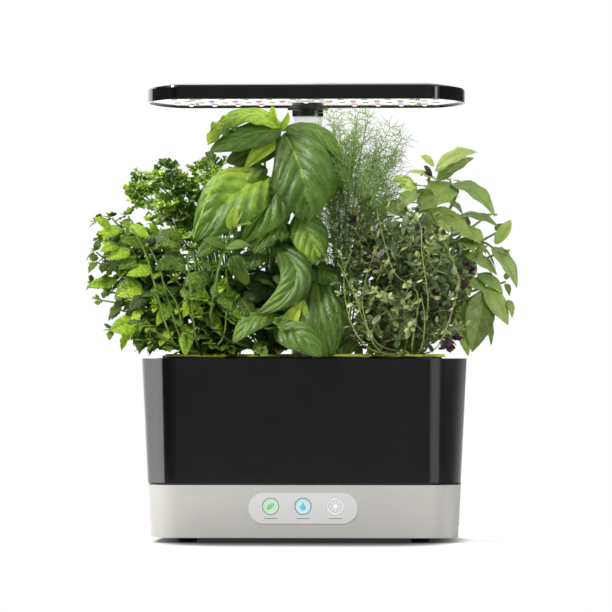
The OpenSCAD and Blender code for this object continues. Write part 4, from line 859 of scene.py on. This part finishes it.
def grow_mint():
    f, root = start("mint")
    for px, py, depth in MINT_TIPS:
        tip = seen(px, py, depth)
        path = f.stalk(shoot_path(foot(root, tip, 4, 12), tip, 0.3, 1.5), 1.3, 0.7, sides=4, tone=0.3)
        length = np.linalg.norm(tip - root)
        turn = rng.uniform(0, math.pi)
        # painted shade: the shoots further back draw from darker tones
        bright = rng.choice([0.12, 0.45, 0.5, 0.95]) if depth < -30 else rng.choice([0.05, 0.25, 0.8])
        for k, c, d in nodes_down(path, length, MINT_PITCH, max(2, int(length / 16)), 0.18):
            size = min(23.0, 11 + 6.0 * k) * rng.uniform(0.85, 1.15)
            for s in (0, math.pi):
                out = outward(d, turn + s + k * math.pi / 2, 0.55 if k == 0 else 0.2)
                if c[2] + out[2] * size < LEAF_FLOOR:
                    continue
                tone = bright if rng.random() < 0.7 else rng.uniform(0.1, 1.0)
                tone = (tone + rng.uniform(-0.12, 0.08), tone + rng.uniform(-0.05, 0.2))
                mint_leaf(f, c, out, size, tone, rng.uniform(0.0, 0.9))
        d = unit(path[-1] - path[-2])
        for k in range(4):
            mint_leaf(f, path[-1], outward(d, k * 1.57, 1.2), rng.uniform(6, 9), (0.8, 0.9), 0.0)

    def place(*row, **more):
        leaf_seen(f, MINT_FINE, *row, **more)

    # the single leaves that stand out along the left edge and over the rim
    place(117, 280, 86, 288, -44, -52, 17, (-0.2, -0.75, 0.65), (0.75, 0.85))
    place(141, 284, 115, 296, -56, -64, 24, (0.1, -0.85, 0.5), (0.75, 0.95), side_tone=-0.7)
    place(180, 290, 139, 297, -62, -70, 16, (0, -0.6, 0.8), (0.3, 0.3))
    place(138, 322, 109, 331, -58, -66, 21, (-0.1, -0.9, 0.4), (0.9, 1.0))
    place(150, 315, 121, 325, -56, -60, 16, (0, -0.5, 0.85), (0.3, 0.35))
    place(187, 328, 185, 357, -68, -74, 14, (0, -1, 0.2), (0.8, 0.95))
    place(181, 288, 208, 300, -66, -72, 20, (0.2, -0.8, 0.6), (0.55, 0.7))
    place(206, 291, 224, 306, -62, -70, 16, (0.3, -0.8, 0.4), (0.15, 0.2))
    place(226, 296, 243, 321, -64, -72, 18, (0.2, -0.9, 0.3), (0.55, 0.7))
    place(234, 268, 250, 284, -58, -62, 15, (0.3, -0.8, 0.5), (0.5, 0.6))
    for bx, by, tx, ty, width, tone in MINT_FRONT:
        place(bx, by, tx, ty, -60 - rng.uniform(0, 8), -68 - rng.uniform(0, 6), width,
              (rng.normal(0, 0.15), -0.8, 0.55), (tone - 0.1, tone + 0.08))
    place(181, 243, 158, 248, -46, -54, 13, (0, -0.7, 0.7), (0.35, 0.4))
    place(135, 232, 123, 222, -30, -34, 9, (-0.3, -0.7, 0.6), (0.9, 1.0))
    place(158, 233, 149, 224, -34, -38, 9, (-0.2, -0.7, 0.7), (0.85, 0.95))
    low_fill(f, root, (-130, -62, 156), (-58, 6, 178), 60, lambda c, out: mint_leaf(
        f, c, out, rng.uniform(11, 16), (0.15, rng.uniform(0.2, 0.9)), 0.2))
    front_stems(f, root, MINT_STEMS, -68, 6, (4, -8), 0.6, 1.0)
    mat = leaf_material(
        "leaf_mint", (0.014, 0.030, 0.002), (0.152, 0.272, 0.026), (0.56, 0.75, 0.04), (0.24, 0.36, 0.08),
        (0.45, 0.68, 0.03), veins=6, slant=0.45, rough=0.38, vein_gain=0.35, painted_light_patches=0.5, net=(8, 5, 0.24, 1.2),
        painted_crease_shade=0.10, relief=0.0004, specular=0.4)
    f.build("MintFoliage", "herb_mint", mat, "leaf_mint")


# ---------------- Thai basil
THAI_BLADE = dict(arch=3, fold=0.28, cup=0.18, ruffle=0.07, waves=2.5, pucker=0.025, slant=0.3, teeth=11, bite=0.07,
                  shape=(0.6, 0.95), along=33, across=6)
THAI_PITCH = 17.0                   # mm between two pairs of leaves
THAI_FRONT = 22.0                   # mm; no leaf of the bush's body ends further forward
THAI_SHOOTS = (     # their tips, in mm
    (40, 60, 250), (62, 74, 285), (92, 78, 270), (120, 66, 300), (150, 60, 270), (164, 40, 240), (112, 50, 305),
    (84, 48, 296), (140, 76, 225), (96, 80, 215), (60, 80, 210), (166, 70, 215), (150, 50, 200), (128, 50, 262),
    (104, 60, 240), (72, 50, 262), (100, 52, 232), (40, 66, 205), (138, 56, 250), (158, 56, 256), (152, 62, 184))


def grow_thai_basil():
    f, root = start("thai_basil")

    def place(*row, **more):
        leaf_seen(f, THAI_BLADE, *row, **more)

    for r0, r1, *points in (
            (2.4, 1.0, (405, 290, 44), (424, 230, 46), (437, 180, 40)),
            (2.2, 0.9, (430, 300, 42), (460, 262, 38), (472, 246, 34), (483, 242, 32), (496, 250, 30)),
            (2.0, 1.0, (440, 320, 40), (464, 303, 36), (486, 288, 32)),
            (2.2, 1.0, (410, 300, 50), (425, 250, 52), (452, 205, 46), (458, 188, 42))):
        f.stalk([root, *seen_all(*points)], r0, r1, tone=0.9)
    # top
    place(435, 171, 477, 152, 38, 28, 25, (-0.2, -0.55, 0.8), (0.85, 1.1), arch=5)
    place(437, 181, 474, 158, 40, 44, 20, (0.1, -0.5, 0.85), (0.42, 0.5), arch=4)
    place(438, 181, 408, 172, 38, 30, 16, (-0.3, -0.4, 0.85), (0.9, 1.05))
    place(434, 166, 421, 156, 38, 36, 8, (-0.3, -0.6, 0.7), (0.8, 0.95))
    place(417, 191, 392, 177, 40, 34, 15, (-0.2, -0.7, 0.6), (0.95, 1.15))
    for px, py in ((424, 166), (428, 172), (420, 176), (429, 181)):
        place(432, 176, px, py, 38, 36, 5, (-0.2, -0.7, 0.6), (0.1, 0.2), purple=True, along=11, across=3)
    place(457, 187, 418, 211, 42, 30, 31, (-0.2, -0.75, 0.6), (0.62, 0.85), arch=5)
    place(452, 184, 495, 217, 44, 32, 26, (0.3, -0.5, 0.85), (0.55, 0.62), arch=8)
    place(456, 217, 498, 227, 42, 28, 20, (0.2, -0.4, 0.9), (0.3, 0.5), arch=5)
    place(427, 211, 474, 240, 40, 26, 25, (0.05, -0.75, 0.65), (0.66, 0.9), arch=4, pucker=0.035)
    place(410, 214, 376, 206, 38, 30, 18, (0.05, -0.75, 0.65), (0.3, 0.45), pucker=0.05)
    place(420, 190, 396, 214, 36, 30, 20, (-0.3, -0.6, 0.7), (0.6, 0.8))
    place(444, 214, 421, 236, 40, 30, 22, (-0.1, -0.7, 0.7), (0.35, 0.55))
    # right edge
    place(495, 244, 511, 220, 30, 34, 11, (0.5, -0.6, 0.6), (0.6, 0.8))
    place(492, 247, 517, 288, 30, 26, 18, (0.55, -0.7, 0.4), (0.62, 0.6), arch=5)
    place(497, 250, 512, 262, 30, 36, 13, (0.5, -0.4, 0.8), (0.7, 0.85))
    place(465, 253, 497, 275, 36, 28, 17, (0.3, -0.6, 0.7), (0.55, 0.7))
    place(470, 262, 488, 246, 36, 32, 12, (0.2, -0.5, 0.8), (0.7, 0.9))
    place(478, 274, 503, 294, 34, 28, 15, (0.3, -0.7, 0.6), (0.5, 0.7))
    place(486, 288, 508, 325, 30, 26, 19, (0.3, -0.9, 0.3), (0.72, 0.62))
    place(484, 292, 472, 352, 30, 26, 27, (0.2, -0.97, 0.15), (0.25, 0.35), arch=5, side_tone=0.3)
    place(464, 303, 468, 356, 34, 26, 18, (-0.2, -0.97, 0.1), (0.95, 0.8), side_tone=-0.3)
    place(440, 230, 398, 268, 44, 32, 34, (-0.2, -0.9, 0.4), (0.5, 0.7), arch=4, pucker=0.035)
    place(446, 256, 420, 290, 42, 32, 26, (-0.1, -0.9, 0.4), (0.35, 0.55))
    place(452, 262, 470, 296, 42, 30, 22, (0.2, -0.9, 0.4), (0.4, 0.6))
    place(482, 243, 466, 228, 32, 36, 14, (-0.1, -0.5, 0.8), (0.7, 0.85))
    place(485, 290, 463, 280, 30, 34, 14, (-0.2, -0.6, 0.8), (0.6, 0.8))
    place(508, 300, 512, 318, 28, 26, 7, (0.3, -0.8, 0.4), (0.5, 0.6))
    # the body of the bush, and its back
    for tip in np.array(THAI_SHOOTS, float):
        path = f.stalk(shoot_path(foot(root, tip, 2, 8), tip, 0.32, 1.5), 1.8, 0.9, sides=4, tone=0.7)
        turn = rng.uniform(0, math.pi)
        for k, c, d in nodes_down(path, np.linalg.norm(tip - root), THAI_PITCH, 5, 0.2):
            size = min(34.0, 16 + 9 * k) * rng.uniform(0.85, 1.1)
            for s in (0, math.pi):
                out = outward(d, turn + s + k * math.pi / 2, 0.25)
                end = c + out * size * 0.95 + np.array([0, 0, -rng.uniform(0.0, 0.45) * size])
                end[1] = max(end[1], THAI_FRONT)
                if end[2] < LEAF_FLOOR + 1 or np.linalg.norm(end[:2] - MAST) < MAST_CLEAR + 3.5:
                    continue
                f.leaf(c + out * 2, end, size * rng.uniform(0.42, 0.52), face=unit(out * 0.4 + UP), **dict(
                    THAI_BLADE, arch=size * 0.1, phase=rng.uniform(0, 6), along=22, across=4, teeth=7,
                    tone=(rng.uniform(0.3, 0.65), rng.uniform(0.35, 0.75))))
    low_fill(f, root, (30, 24, 158), (124, 68, 186), 34, fill_leaf(
        f, (16, 24), (8, 12), **dict(THAI_BLADE, arch=2, along=18, across=4, tone=(0.2, 0.5))))
    mat = leaf_material(
        "leaf_thai_basil", (0.040, 0.075, 0.010), (0.40, 0.53, 0.17), (0.76, 0.86, 0.27), (0.30, 0.42, 0.10),
        (0.50, 0.70, 0.10), slant=0.3, rough=0.36, through=0.40, vein_gain=0.4, specular=0.8, painted_light_patches=0.45,
        net=(14, 7, 0.06, 0.7), painted_crease_shade=0.08)
    f.build("ThaiBasilFoliage", "herb_thai_basil", mat, "leaf_thai_basil")


# ---------------- parsley
PARSLEY_BLADE = dict(fold=0.35, cup=0.1, ruffle=0.5, waves=2.5, teeth=3, bite=0.45, shape=(0.5, 0.3), along=9,
                     across=2, thick=0.35)
PARSLEY_SEEN = (    # the clusters that show over the mint: pixel and depth
    (144, 186, 40), (150, 176, 34), (166, 174, 44), (180, 180, 36), (142, 198, 32), (156, 190, 52), (170, 188, 28),
    (186, 194, 30), (202, 168, 32), (212, 170, 44), (206, 184, 28), (220, 184, 56), (154, 212, 30), (168, 206, 26),
    (182, 208, 24), (198, 204, 28), (212, 206, 40), (226, 200, 60), (176, 222, 34), (192, 226, 26), (186, 244, 40),
    (206, 240, 30), (228, 226, 44), (150, 236, 56), (236, 180, 62), (240, 206, 66), (196, 180, 60), (130, 240, 60),
    (112, 246, 60), (166, 250, 50))
PARSLEY_BEHIND = (  # and those behind, in mm
    (-150, 76, 250), (-130, 84, 275), (-110, 78, 290), (-90, 84, 300), (-70, 76, 300), (-52, 84, 285), (-40, 76, 262),
    (-160, 66, 228), (-140, 80, 215), (-116, 84, 240), (-92, 80, 225), (-70, 86, 240), (-46, 82, 215), (-36, 70, 240),
    (-60, 64, 200), (-80, 70, 196), (-30, 84, 240), (-56, 40, 200), (-40, 24, 196), (-70, 56, 262), (-104, 56, 262),
    (-134, 50, 246))


def parsley_frond(f, c, direction, face, size, tone):
    """A curly compound leaf: three stalks, each with five frilled leaflets."""
    side = unit(np.cross(direction, face))
    for spread, reach in ((0.0, 1.0), (0.8, 0.85), (-0.8, 0.85)):
        d = unit(direction * math.cos(spread) + side * math.sin(spread))
        hub = c + d * size * 0.42 * reach
        f.stalk([c, hub], 0.5, 0.35, sides=3)
        for k in range(5):
            a = (k - 2) * 0.62 + rng.uniform(-0.12, 0.12)
            out = unit(d * math.cos(a) + unit(np.cross(d, face)) * math.sin(a) + face * rng.uniform(-0.15, 0.45))
            lobe = size * rng.uniform(0.42, 0.58) * reach * (1.0 if k == 2 else 0.85)
            shade = tone + rng.uniform(-0.15, 0.25)
            f.leaf(hub, hub + out * lobe, lobe * rng.uniform(0.8, 1.0), face=unit(face + rng.normal(0, 0.4, 3)),
                   tone=(shade, shade + 0.25), phase=rng.uniform(0, 6), **PARSLEY_BLADE)


def grow_parsley():
    f, root = start("parsley")
    for c in [*seen_all(*PARSLEY_SEEN), *np.array(PARSLEY_BEHIND, float)]:
        if in_flap_room(c, 12):
            continue
        a = foot(root, c, 2, 9)
        path = shoot_path(a, c, 0.45, 1.0)
        if any(in_flap_room(q, 0) for q in path):
            path = shoot_path(a, c, 0.8, 0.5)
        f.stalk(path, 0.9, 0.6, sides=4, tone=0.2, steps=2)
        out = unit(np.append(c[:2] - root[:2], 30.0))
        size = rng.uniform(19, 25)
        tone = rng.choice([0.1, 0.35, 0.5, 0.85])
        for _ in range(3 if c[1] < 60 else 2):
            d = unit(out + rng.normal(0, 0.75, 3))
            parsley_frond(f, c - out * rng.uniform(0, 8), d, unit(np.array([0, -0.45, 1]) + rng.normal(0, 0.3, 3)),
                          size * rng.uniform(0.75, 1.05), tone + rng.uniform(-0.1, 0.15))
    for spot in rng.uniform((-84, 18, 164), (-30, 66, 196), (14, 3)):
        parsley_frond(f, spot, unit(np.array([rng.normal(0, 0.5), -0.5, 0.6])), np.array([0, -0.6, 0.8]), 17, 0.3)
        f.stalk([root, (root + spot) / 2, spot], 0.9, 0.6, sides=4, tone=0.2, steps=2)
    mat = leaf_material(
        "leaf_parsley", (0.014, 0.030, 0.002), (0.148, 0.275, 0.026), (0.64, 0.80, 0.05), (0.18, 0.32, 0.05),
        (0.40, 0.66, 0.02), veins=4, slant=0.4, rough=0.28, through=0.36, vein_gain=0.3, specular=1.0, painted_light_patches=0.5)
    f.build("ParsleyFoliage", "herb_parsley", mat, "leaf_parsley")


# ---------------- dill
DILL_PITCH, THREAD_PITCH = 8.0, 2.6         # mm between two branches, and between two threads of one
DILL_TIPS = (       # pixel and depth
    (322, 128, -4), (358, 112, -30), (390, 128, -20), (340, 130, -16), (382, 146, -44), (330, 150, -16),
    (376, 170, -54), (336, 200, -16), (364, 194, -50), (384, 200, -30), (388, 160, 6), (376, 196, 2),
    (334, 112, -16), (368, 118, -14), (402, 138, -8), (352, 140, -46), (396, 156, -40), (344, 164, -16),
    (392, 182, -48), (330, 220, -16), (320, 160, -2), (356, 126, 4), (342, 150, 12), (336, 176, 8))


def dill_branch(f, c, out, end, reach, turn):
    """A side branch from c to end, with pairs of threads along it."""
    f.stalk([c, (c + end) / 2 + rng.normal(0, 1.2, 3), end], 0.38, 0.2, sides=3, tone=0.9, steps=2)
    threads = max(3, int(reach / THREAD_PITCH))
    for m in range(threads):
        q = c + (end - c) * ((m + 0.6) / threads)
        for side in (0, 1):
            w = outward(out, turn + m * 1.1 + side * math.pi, 0.9)
            long = rng.uniform(4.5, 8.5)
            tone = min(1.0, 0.35 + 0.6 * (q[2] - 230) / 120 + rng.uniform(-0.1, 0.2))
            f.stalk([q, q + w * long * 1.15], 0.25, 0.14, sides=3, tone=tone)


def grow_dill():
    f, root = start("dill")
    for tip in seen_all(*DILL_TIPS):
        a = root + np.append(rng.normal(0, 3, 2), 0.0)
        path = f.stalk(shoot_path(a, tip, 0.42, 1.2), 0.9, 0.35, sides=4, tone=0.55)
        turn = rng.uniform(0, 6)
        for k, c, d in nodes_down(path, np.linalg.norm(tip - root), DILL_PITCH, 11, 0.3):
            reach = min(26.0, 7 + 2.6 * k)
            for s in (0, math.pi):
                out = outward(d, turn + s + 0.35 * k, 0.75)
                end = c + out * reach + np.array([0, 0, -0.06 * reach])
                if rng.random() >= 0.1:
                    dill_branch(f, c, out, end, reach, turn)
    low_fill(f, root, (8, -60, 156), (66, 0, 190), 44, fill_leaf(
        f, (13, 20), (6, 9), along=12, across=3, tone=(0.1, 0.3)))
    mat = leaf_material(
        "leaf_dill", (0.055, 0.10, 0.02), (0.27, 0.38, 0.085), (0.74, 0.82, 0.30), (0.36, 0.50, 0.14),
        (0.50, 0.72, 0.28), veins=3, rough=0.5, through=0.34, vein_gain=0.0)
    f.build("DillFoliage", "herb_dill", mat, "leaf_dill")


# ---------------- thyme
THYME_PITCH = 6.2                   # mm between two pairs of leaves
THYME_TIPS = (      # pixel and depth
    (350, 216, -50), (366, 204, -40), (384, 206, -56), (402, 202, -44), (420, 206, -56), (438, 218, -46),
    (452, 232, -54), (462, 250, -46), (466, 270, -56), (462, 290, -60), (452, 310, -66), (444, 330, -72),
    (344, 240, -60), (342, 266, -62), (346, 292, -62), (352, 316, -66), (362, 336, -70), (372, 232, -66),
    (392, 226, -70), (412, 224, -70), (430, 240, -70), (442, 262, -72), (440, 288, -76), (428, 312, -78),
    (410, 330, -80), (392, 340, -80), (374, 318, -78), (366, 288, -76), (372, 258, -74), (396, 250, -80),
    (416, 260, -82), (408, 288, -82), (388, 296, -82), (398, 316, -80), (358, 222, -10), (380, 212, -2),
    (404, 214, -8), (426, 222, 0), (446, 244, -10), (456, 268, -4), (450, 296, -14), (440, 322, -20),
    (356, 262, -8), (362, 300, -14), (380, 250, 2), (420, 250, 6), (430, 284, 0), (400, 270, 6),
    (424, 344, -74), (452, 340, -66), (384, 278, -50), (404, 240, -40), (424, 290, -46), (376, 340, -40),
    (334, 230, -58), (338, 252, -62), (350, 248, -60), (337, 282, -64), (354, 278, -66), (345, 304, -68),
    (349, 326, -70), (358, 306, -70), (366, 222, -62), (356, 232, -58))
THYME_PURPLE = ((367, 203, -44), (353, 218, -54), (470, 272, -50), (463, 288, -60), (450, 344, -72), (456, 340, -70),
                (446, 348, -74), (468, 266, -52))
THYME_BARE = ((352, 238, -74), (364, 262, -78), (398, 232, -76), (420, 268, -80), (436, 300, -80), (380, 300, -82),
              (358, 330, -72), (412, 318, -82))
THYME_STEMS = (     # pixels
    ((338, 262), (354, 294), (364, 321), (381, 352)), ((378, 245), (366, 278), (363, 309), (378, 344)),
    ((377, 211), (386, 248), (396, 275), (418, 294), (412, 346)), ((409, 208), (421, 226), (422, 254), (428, 310)),
    ((439, 230), (455, 266), (458, 290), (438, 346)), ((421, 294), (425, 321), (421, 349)),
    ((352, 250), (344, 276), (350, 320), (372, 350)))


def grow_thyme():
    f, root = start("thyme")
    for i, tip in enumerate(seen_all(*THYME_TIPS)):
        line = shoot_path(foot(root, tip, 0, 9), tip, 0.4, 4.0)
        path = f.stalk(line, 0.75, 0.4, sides=4, tone=rng.uniform(0.4, 1.0))
        length = np.linalg.norm(tip - root)
        purple = i % 6 == 4
        shade = rng.uniform(0.0, 0.62)
        for branch in range(3):     # the shoot itself, then its two twigs
            twig, run, most = path, length, length * 0.7
            if branch:
                c, d = along_path(path, rng.uniform(0.35, 0.85))
                end = c + unit(d + rng.normal(0, 0.75, 3)) * rng.uniform(16, 32)
                line = [c, (c + end) / 2 + rng.normal(0, 1.5, 3), end]
                twig = f.stalk(line, 0.5, 0.3, sides=3, tone=rng.uniform(0.3, 1.0), steps=2)
                run = most = np.linalg.norm(end - c)
            turn = rng.uniform(0, 6)
            for k, c, d in nodes_down(twig, run, THYME_PITCH, int(most / THYME_PITCH), 0.05):
                for s in (0, math.pi):
                    out = outward(d, turn + s + k * 1.57, 0.9 if k < 2 else 0.35)
                    size = rng.uniform(6.5, 11.0) * (0.7 if k == 0 else 1.0)
                    tone = 0.95 if rng.random() < 0.12 else shade + rng.uniform(-0.15, 0.3)
                    face = unit(out * 0.3 + np.array([0, -0.4, 1]) + rng.normal(0, 0.35, 3))
                    f.leaf(c, c + out * size, size * 0.48, face=face, fold=0.25, cup=0.2, along=4, across=1,
                           tone=(tone, tone + 0.15), purple=purple and branch > 0, shape=(0.5, 0.5))
    for c in seen_all(*THYME_PURPLE):
        for _ in range(8):
            out = unit(rng.normal(0, 1, 3) + np.array([0.1, -0.3, 0.5]))
            f.leaf(c, c + out * rng.uniform(5, 8), rng.uniform(3.4, 4.8),
                   face=unit(np.array([0, -0.6, 0.8]) + rng.normal(0, 0.3, 3)), along=6, across=2, tone=(0, 0),
                   purple=True, shape=(0.5, 0.5))
    for tip in seen_all(*THYME_BARE):
        a = root + np.append(rng.normal(0, 4, 2), 0.0)
        f.stalk(shoot_path(a, tip, 0.5, 6.0), 0.8, 0.5, sides=4, tone=1.0, steps=4)
    front_stems(f, root, THYME_STEMS, -76, 8, (0, -8), 0.35, 0.62)
    mat = leaf_material(
        "leaf_thyme", (0.014, 0.026, 0.008), (0.160, 0.240, 0.090), (0.62, 0.72, 0.27), (0.33, 0.40, 0.11),
        (0.28, 0.42, 0.07), veins=4, rough=0.42, through=0.30, vein_gain=0.2, specular=0.55)
    f.build("ThymeFoliage", "herb_thyme", mat, "leaf_thyme")


# the random draws follow this order
for grow in (grow_basil, grow_mint, grow_thai_basil, grow_parsley, grow_dill, grow_thyme):
    grow()

# ---------------- finishes on the CAD nodes
SLOT_OF = {row["node"]: row["material_slot"] for row in frame["record"]["subparts"]}
for name, obj in frame["nodes"].items():
    if SLOT_OF[name] in FINISH:
        obj.data.materials.clear()
        obj.data.materials.append(FINISH[SLOT_OF[name]])


def new_piece(name, verts, faces, mat):
    mesh = bpy.data.meshes.new(name)
    mesh.from_pydata(verts, [], faces)
    mesh.materials.append(mat)
    return add_object(name, mesh)


# ---------------- the labels' edges, creased down over the baskets
# out from the pod's middle, up from the label's top (mm)
EDGE_PROFILE = ((24.0, 0.02), (24.5, 0.0), (25.2, -0.5), (25.9, -2.3), (25.55, -2.3), (24.9, -0.75), (24.4, -0.35),
                (24.0, -0.3))
EDGE_STEPS = 72

for herb in POD:
    low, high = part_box("label_" + herb)
    cx, cy = (low[0] + high[0]) / 2, (low[1] + high[1]) / 2
    n, verts, faces = len(EDGE_PROFILE), [], []
    for i in range(EDGE_STEPS):
        a = 2 * math.pi * i / EDGE_STEPS
        dip = 1 + 0.12 * math.sin(3 * a + cx * 100) + 0.06 * math.sin(8 * a)     # the crease isn't quite even
        verts += [(cx + r * MM * math.cos(a), cy + r * MM * math.sin(a), high[2] + z * MM * dip)
                  for r, z in EDGE_PROFILE]
        here, after = i * n, (i + 1) % EDGE_STEPS * n
        faces += [(here + k, here + (k + 1) % n, after + (k + 1) % n, after + k) for k in range(n)]
    obj = new_piece("LabelEdge_" + herb, verts, faces, FINISH["label_card"])
    obj.data.polygons.foreach_set("use_smooth", [True] * len(faces))
    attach(obj, "stand")

# ---------------- the marks on the three buttons
PANEL_Z, BUTTON_UP, BUTTON_PITCH, BUTTON_R, PANEL_PROUD = 28.3, 1.6, 26.4, 6.85, 0.3
SLOPE = 0.048
DRAFT = math.atan(SLOPE)
CORNER_Y, CORNER_R, RIM_HEIGHT = 46.2, 30.0, 150.5
MARK_T, MARK_SUNK = 0.12, 0.05      # how far a mark stands out, and how far it reaches in


def on_front(u, v, out):
    """A point u to the right and v up from the panel's middle on the sloping front, out mm proud of it (m)."""
    wall = CORNER_R - (RIM_HEIGHT - PANEL_Z) * SLOPE
    base = np.array([0.0, -CORNER_Y - wall, PANEL_Z])
    up = np.array([0.0, -math.sin(DRAFT), math.cos(DRAFT)])
    normal = np.array([0.0, -math.cos(DRAFT), -math.sin(DRAFT)])
    return tuple((base + np.array([u, 0, 0]) + up * v + normal * out) * MM)


def decal(name, shapes, body, mat, thick=MARK_T):
    """Thin raised shapes on the front. Each is its outer ring of (u, v) points and, if it has a hole, the hole's."""
    verts, faces = [], []
    for rings in shapes:
        n, s = len(rings[0]), len(verts)
        verts += [on_front(u, v, level) for ring in rings for level in (PANEL_PROUD - MARK_SUNK, PANEL_PROUD + thick)
                  for u, v in ring]
        steps = [(s + i, s + (i + 1) % n) for i in range(n)]
        if len(rings) == 1:
            faces += [tuple(i + n for i, _ in steps), tuple(i for i, _ in steps[::-1])]
            faces += [(i, j, j + n, i + n) for i, j in steps]
        else:
            for i, j in steps:
                faces += [(i + n, j + n, j + 3 * n, i + 3 * n), (j, i, i + 2 * n, j + 2 * n), (i, j, j + n, i + n),
                          (j + 2 * n, i + 2 * n, i + 3 * n, j + 3 * n)]
    obj = new_piece(name, verts, faces, mat)
    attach(obj, body)


def around(n):
    return [2 * math.pi * i / n for i in range(n)]


def turned(cu, cv, u, v, tilt):
    """The point u, v turned by tilt about the middle cu, cv."""
    return cu + u * math.cos(tilt) - v * math.sin(tilt), cv + u * math.sin(tilt) + v * math.cos(tilt)


def circle(cu, cv, r):
    return [(cu + r * math.cos(a), cv + r * math.sin(a)) for a in around(48)]


def drop_shape(cu, cv, r):
    """A water drop: round below, drawn to a point above."""
    pts = []
    for a in around(40):
        above = max(0.0, math.sin(a))
        pts.append((cu + r * math.cos(a) * (1 - 0.72 * above ** 2.2), cv + r * math.sin(a) + 0.95 * r * above ** 5))
    return pts


def leaf_shape(cu, cv, r, tilt):
    return [turned(cu, cv, r * math.cos(a), 0.52 * r * math.sin(a) * (1 - 0.25 * math.cos(a)), tilt)
            for a in around(36)]


def bar(cu, cv, w, h, tilt=0.0):
    """A thin bar with round ends."""
    return [turned(cu, cv, end * (w / 2 - h / 2 + h / 2 * math.cos(a)), end * h / 2 * math.sin(a), tilt)
            for end in (1, -1) for a in (-math.pi / 2 + math.pi * k / 4 for k in range(5))]


def print_ink(name, colour, second=None):
    """Screen-printed ink, its colour drifting from colour to second from below upwards."""
    mat, g, place = material(name)
    z = g.new("ShaderNodeSeparateXYZ", {"Vector": place}).outputs[2]
    dots = g.noise(place, 3000.0, 2.0)
    col = g.mix(g.step(z, 0.025, 0.035), colour, second or darker(colour, 0.93))
    col = g.mix(g.times(dots, 0.12), col, (1, 1, 1))
    g.surface(g.principled(col, g.scaled(dots, 0.1, 0.4), g.bump(dots, 0.2, 0.00002)))
    return mat


INK = {name: print_ink("ink_" + name, *colours) for name, *colours in (
    ("green", (0.16, 0.42, 0.20)), ("leaf", (0.16, 0.50, 0.17), (0.22, 0.62, 0.26)),
    ("pale_green", (0.58, 0.76, 0.58)), ("teal", (0.05, 0.32, 0.36)),
    ("drop", (0.015, 0.60, 0.66), (0.02, 0.62, 0.70)), ("pale_blue", (0.60, 0.76, 0.79)),
    ("white", (0.93, 0.93, 0.93)), ("grey", (0.25, 0.25, 0.25)))}

for i, body, ring_ink, fill_ink, ring_w in (
        (-1, "food_button", "green", "pale_green", 0.55), (0, "water_button", "teal", "pale_blue", 0.6),
        (1, "light_button", "white", None, 0.95)):
    middle = (i * BUTTON_PITCH, BUTTON_UP)
    ring = circle(*middle, BUTTON_R - 0.05), circle(*middle, BUTTON_R - 0.05 - ring_w)
    decal(f"Ring_{body}", [ring], body, INK[ring_ink])
    if fill_ink:
        decal(f"Fill_{body}", [[circle(*middle, BUTTON_R - 0.1 - ring_w)]], body, INK[fill_ink], thick=0.04)
TILT = math.radians(38)             # the leaf's lean
decal("LeafMark", [[leaf_shape(-BUTTON_PITCH, BUTTON_UP + 0.2, 3.6, TILT)]], "food_button", INK["leaf"])
decal("LeafStalk", [[bar(-BUTTON_PITCH - 2.7, BUTTON_UP - 2.0, 2.4, 0.45, TILT)]], "food_button", INK["leaf"],
      thick=0.14)
decal("LeafRib", [[bar(-BUTTON_PITCH - 0.2, BUTTON_UP + 0.05, 4.6, 0.3, TILT)]], "food_button", INK["pale_green"],
      thick=0.16)
decal("DropMark", [[drop_shape(0, BUTTON_UP - 0.8, 2.35)]], "water_button", INK["drop"])
sun_rays = [[bar(BUTTON_PITCH + 3.7 * math.cos(a), BUTTON_UP + 3.7 * math.sin(a), 1.7, 0.65, a)] for a in around(8)]
decal("SunMark", [[circle(BUTTON_PITCH, BUTTON_UP, 1.9)], *sun_rays], "light_button", INK["white"])
for i in (-1, 0, 1):
    decal(f"Dash_{i + 1}", [[bar(i * BUTTON_PITCH, BUTTON_UP - 9.9, 11, 0.7)]], "stand", INK["grey"], thick=0.06)

low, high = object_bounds()
